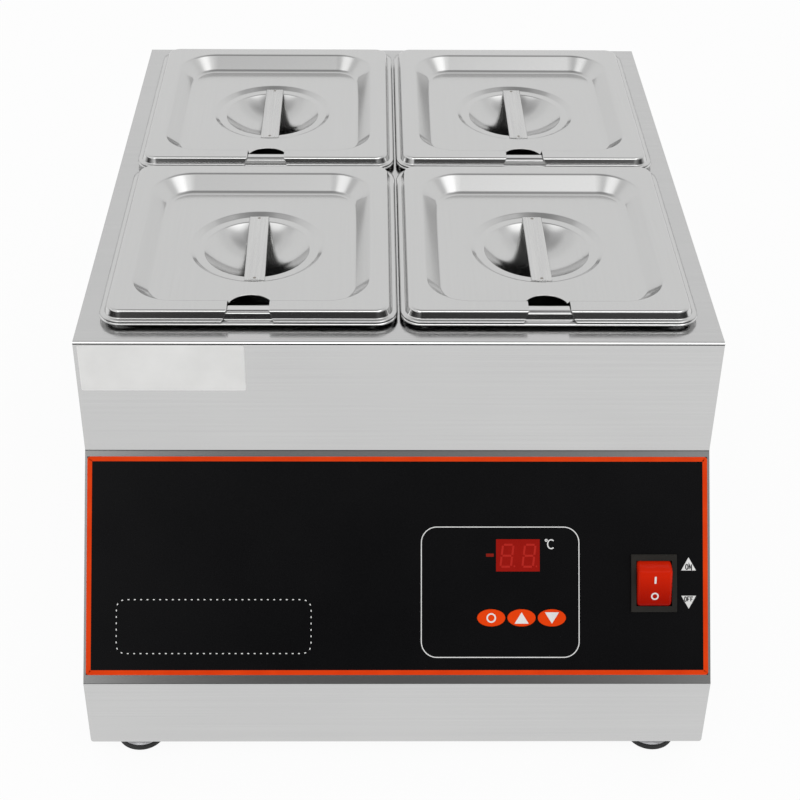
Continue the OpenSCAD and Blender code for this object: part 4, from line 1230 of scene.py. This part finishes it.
@dataclass
class Studio:
    """Pale floor, soft surroundings, a lamp and the camera of the photograph's view.

    Tones are given by place: up from -0.25 to 1 in a direction's height, or across from left to right.
    """

    focal: float = 1604.8
    centre: Pair = (386.3, 296.5)
    angles: Triple = (33.252, 0.679, 0.478)
    stand: Triple = (-15.77, -874.21, 739.66)
    image: float = 800.0
    floor_half: float = 9000.0
    floor_front: float = -850.0
    floor_tone: float = 0.82
    glow: float = 0.93
    fill_tone: float = 0.84
    up_span: Pair = (-0.25, 1.0)
    rear_span: Pair = (-0.3, 0.25)
    rear_tones: Stops = (
        (0.0, 0.78), (0.25, 0.82), (0.5, 0.89), (0.68, 0.89), (0.84, 0.8), (0.952, 0.45), (1.0, 0.33))
    front_tones: Stops = (
        (0.0, 0.025), (0.24, 0.03), (0.42, 0.04), (0.5, 0.105), (0.64, 0.2), (0.72, 0.35), (0.896, 0.95),
        (0.936, 0.99), (0.962, 0.9), (0.985, 0.5), (1.0, 0.33))
    right_span: Pair = (-0.1, 0.12)
    right_gain: Pair = (0.84, 1.2)
    softbox: Triple = (0.46, -0.26, 0.85)
    softbox_span: Pair = (0.95, 0.998)
    softbox_tone: float = 0.57
    side_band: Stops = ((0.36, 0.0), (0.48, 1.0), (0.64, 1.0), (0.75, 0.0))
    side_span: Pair = (-0.3, 0.3)
    side_tones: Stops = (
        (0.0, 1.0), (0.1, 0.95), (0.18, 0.6), (0.23, 0.22), (0.28, 0.05), (0.36, 0.0), (0.66, 0.0),
        (0.77, 0.05), (0.86, 0.2), (1.0, 0.38))
    lamp_at: Triple = (150.0, -1250.0, 1700.0)
    lamp_aim: Triple = (0.0, -20.0, 200.0)
    lamp_size: Pair = (2.2, 0.6)
    lamp_power: float = 7.8

    def build(self) -> None:
        """Builds everything round the object."""
        bpy.context.scene.view_settings.view_transform = "Standard"
        self.camera()
        self.floor()
        self.surroundings()
        self.lamp()

    @staticmethod
    def put(data: bpy.types.ID, at: Triple, *axes: Array) -> Object:
        """Puts a camera or lamp into the scene.

        Args:
            data: Camera or lamp.
            at: Its place.
            axes: Its directions to the right, up and back.

        Returns:
            The new object.
        """
        turn = np.eye(4)
        turn[:3, :3] = np.stack(axes, 1)
        turn[:3, 3] = np.array(at) * MM
        obj = bpy.data.objects.new(data.name, data)
        obj.matrix_world = Matrix(turn.tolist())
        bpy.context.scene.collection.objects.link(obj)
        return obj

    def camera(self) -> None:
        """Camera turned down by the pitch, aside by the yaw and by the roll, with the photograph's frame."""
        pitch, yaw, roll = (math.radians(a) for a in self.angles)
        level = math.cos(pitch)
        ahead = np.array([math.sin(yaw) * level, math.cos(yaw) * level, -math.sin(pitch)])
        flat = np.array([math.cos(yaw), -math.sin(yaw), 0.0])
        over = np.cross(flat, ahead)
        c, s = math.cos(roll), math.sin(roll)
        lens = bpy.data.cameras.new("photo_camera")
        lens.sensor_width = 36.0
        lens.lens = self.focal * lens.sensor_width / self.image
        lens.shift_x = 0.5 - self.centre[0] / self.image
        lens.shift_y = self.centre[1] / self.image - 0.5
        lens.clip_end = 50.0
        right, upright = c * flat + s * over, c * over - s * flat
        bpy.context.scene.camera = self.put(lens, self.stand, right, upright, -ahead)

    def lamp(self) -> None:
        """Soft rectangular lamp that looks at its aim, with sides in metres."""
        light = bpy.data.lights.new("key_panel", "AREA")
        light.shape = "RECTANGLE"
        light.size, light.size_y = self.lamp_size
        light.energy = self.lamp_power
        back = unit(np.array(self.lamp_at) - np.array(self.lamp_aim))
        right = unit(np.cross([0.0, 0.0, 1.0], back))
        self.put(light, self.lamp_at, right, np.cross(back, right), back)

    def floor(self) -> None:
        """Flat grid of nine quads; white where the camera or a reflection sees it, with the shadow kept."""
        half = self.floor_half
        x, y = np.meshgrid(np.linspace(-half, half, 4), np.linspace(self.floor_front, half, 4))
        points = np.stack([x, y, x * 0], -1).reshape(-1, 3)
        mesh = bpy.data.meshes.new("studio_floor")
        mesh.from_pydata((points * MM).tolist(), [], grid_quads(4, 4, False).tolist())
        paint = bpy.data.materials.new("studio_floor")
        paint.use_nodes = True
        shade = Shade(paint.node_tree)
        plain = paint.node_tree.nodes["Principled BSDF"]
        plain.inputs["Base Color"].default_value = (*even(self.floor_tone), 1.0)
        plain.inputs["Roughness"].default_value = 0.9
        plain.inputs["Specular IOR Level"].default_value = 0.0
        path = shade.node("LightPath").outputs
        seen = shade.calc("MAXIMUM", path["Is Camera Ray"], path["Is Glossy Ray"])
        seen = shade.calc("MAXIMUM", seen, path["Is Transmission Ray"])
        white = shade.node("Emission", in_Strength=1.0).outputs[0]
        share = shade.calc("MULTIPLY", seen, self.glow)
        mix = shade.node("MixShader", in_0=share, in_1=plain.outputs[0], in_2=white)
        shade.link(mix.outputs[0], paint.node_tree.nodes["Material Output"].inputs["Surface"])
        mesh.materials.append(paint)
        floor = bpy.data.objects.new("studio_floor", mesh)
        bpy.context.scene.collection.objects.link(floor)

    def surroundings(self) -> None:
        """Studio walls by direction, as reflections see them.

        The wall behind is pale. The room in front is darker, lighter to the right, with light wings at the
        height of the side band. Two softboxes hang overhead, mirrored left and right.
        """
        world = bpy.data.worlds.new("studio")
        bpy.context.scene.world = world
        world.use_nodes = True
        shade = Shade(world.node_tree)
        x, y, z = shade.node("SeparateXYZ", in_0=shade.node("TexCoord").outputs["Generated"]).outputs
        up, across = shade.spread(z, span=self.up_span), shade.spread(x, span=self.side_span)
        rear, front, band = (
            self.ramp(shade, up, tones) for tones in (self.rear_tones, self.front_tones, self.side_band))
        gain = shade.spread(x, self.right_gain, self.right_span)
        front = shade.node("VectorMath", operation="SCALE", in_0=front, in_Scale=gain).outputs[0]
        wings = self.ramp(shade, across, self.side_tones)
        front = shade.calc("MULTIPLY_ADD", wings, band, front, kind="VectorMath")
        walls = shade.blend(shade.spread(y, span=self.rear_span), front, rear)
        way = shade.node("CombineXYZ", in_0=shade.calc("ABSOLUTE", x), in_1=y, in_2=z).outputs[0]
        near = shade.node("VectorMath", operation="DOT_PRODUCT", in_0=way, in_1=self.softbox).outputs["Value"]
        lobe = shade.spread(
            near, (0.0, self.softbox_tone), self.softbox_span, interpolation_type="SMOOTHSTEP")
        room = shade.calc("ADD", walls, lobe, kind="VectorMath")
        path = shade.node("LightPath").outputs
        tone = shade.blend(path["Is Glossy Ray"], even(self.fill_tone), room)
        tone = shade.blend(path["Is Camera Ray"], tone, even(1.0))
        shade.link(tone, world.node_tree.nodes["Background"].inputs["Color"])

    @staticmethod
    def ramp(shade: Shade, value: Socket, stops: Stops) -> Socket:
        """Grey tones by a value, smooth between the stops.

        Args:
            shade: Node tree.
            value: Place from 0 to 1.
            stops: Places and their tones.

        Returns:
            The tone.
        """
        made = shade.node("ValToRGB", in_0=value)
        made.color_ramp.interpolation = "EASE"
        steps = made.color_ramp.elements
        while len(steps) < len(stops):
            steps.new(1.0)
        for step, (place, tone) in zip(steps, stops):
            step.position = place
            step.color = (*even(tone), 1.0)
        return made.outputs[0]


def main() -> None:
    logging.basicConfig(level=logging.INFO, format="%(name)s %(message)s")
    Studio().build()
    PanSet().build()
    case = Case()
    case.dress()
    case.build()
    Heating().dress()
    panel = Panel()
    panel.dress()
    panel.build()


if __name__ == "__main__":
    main()
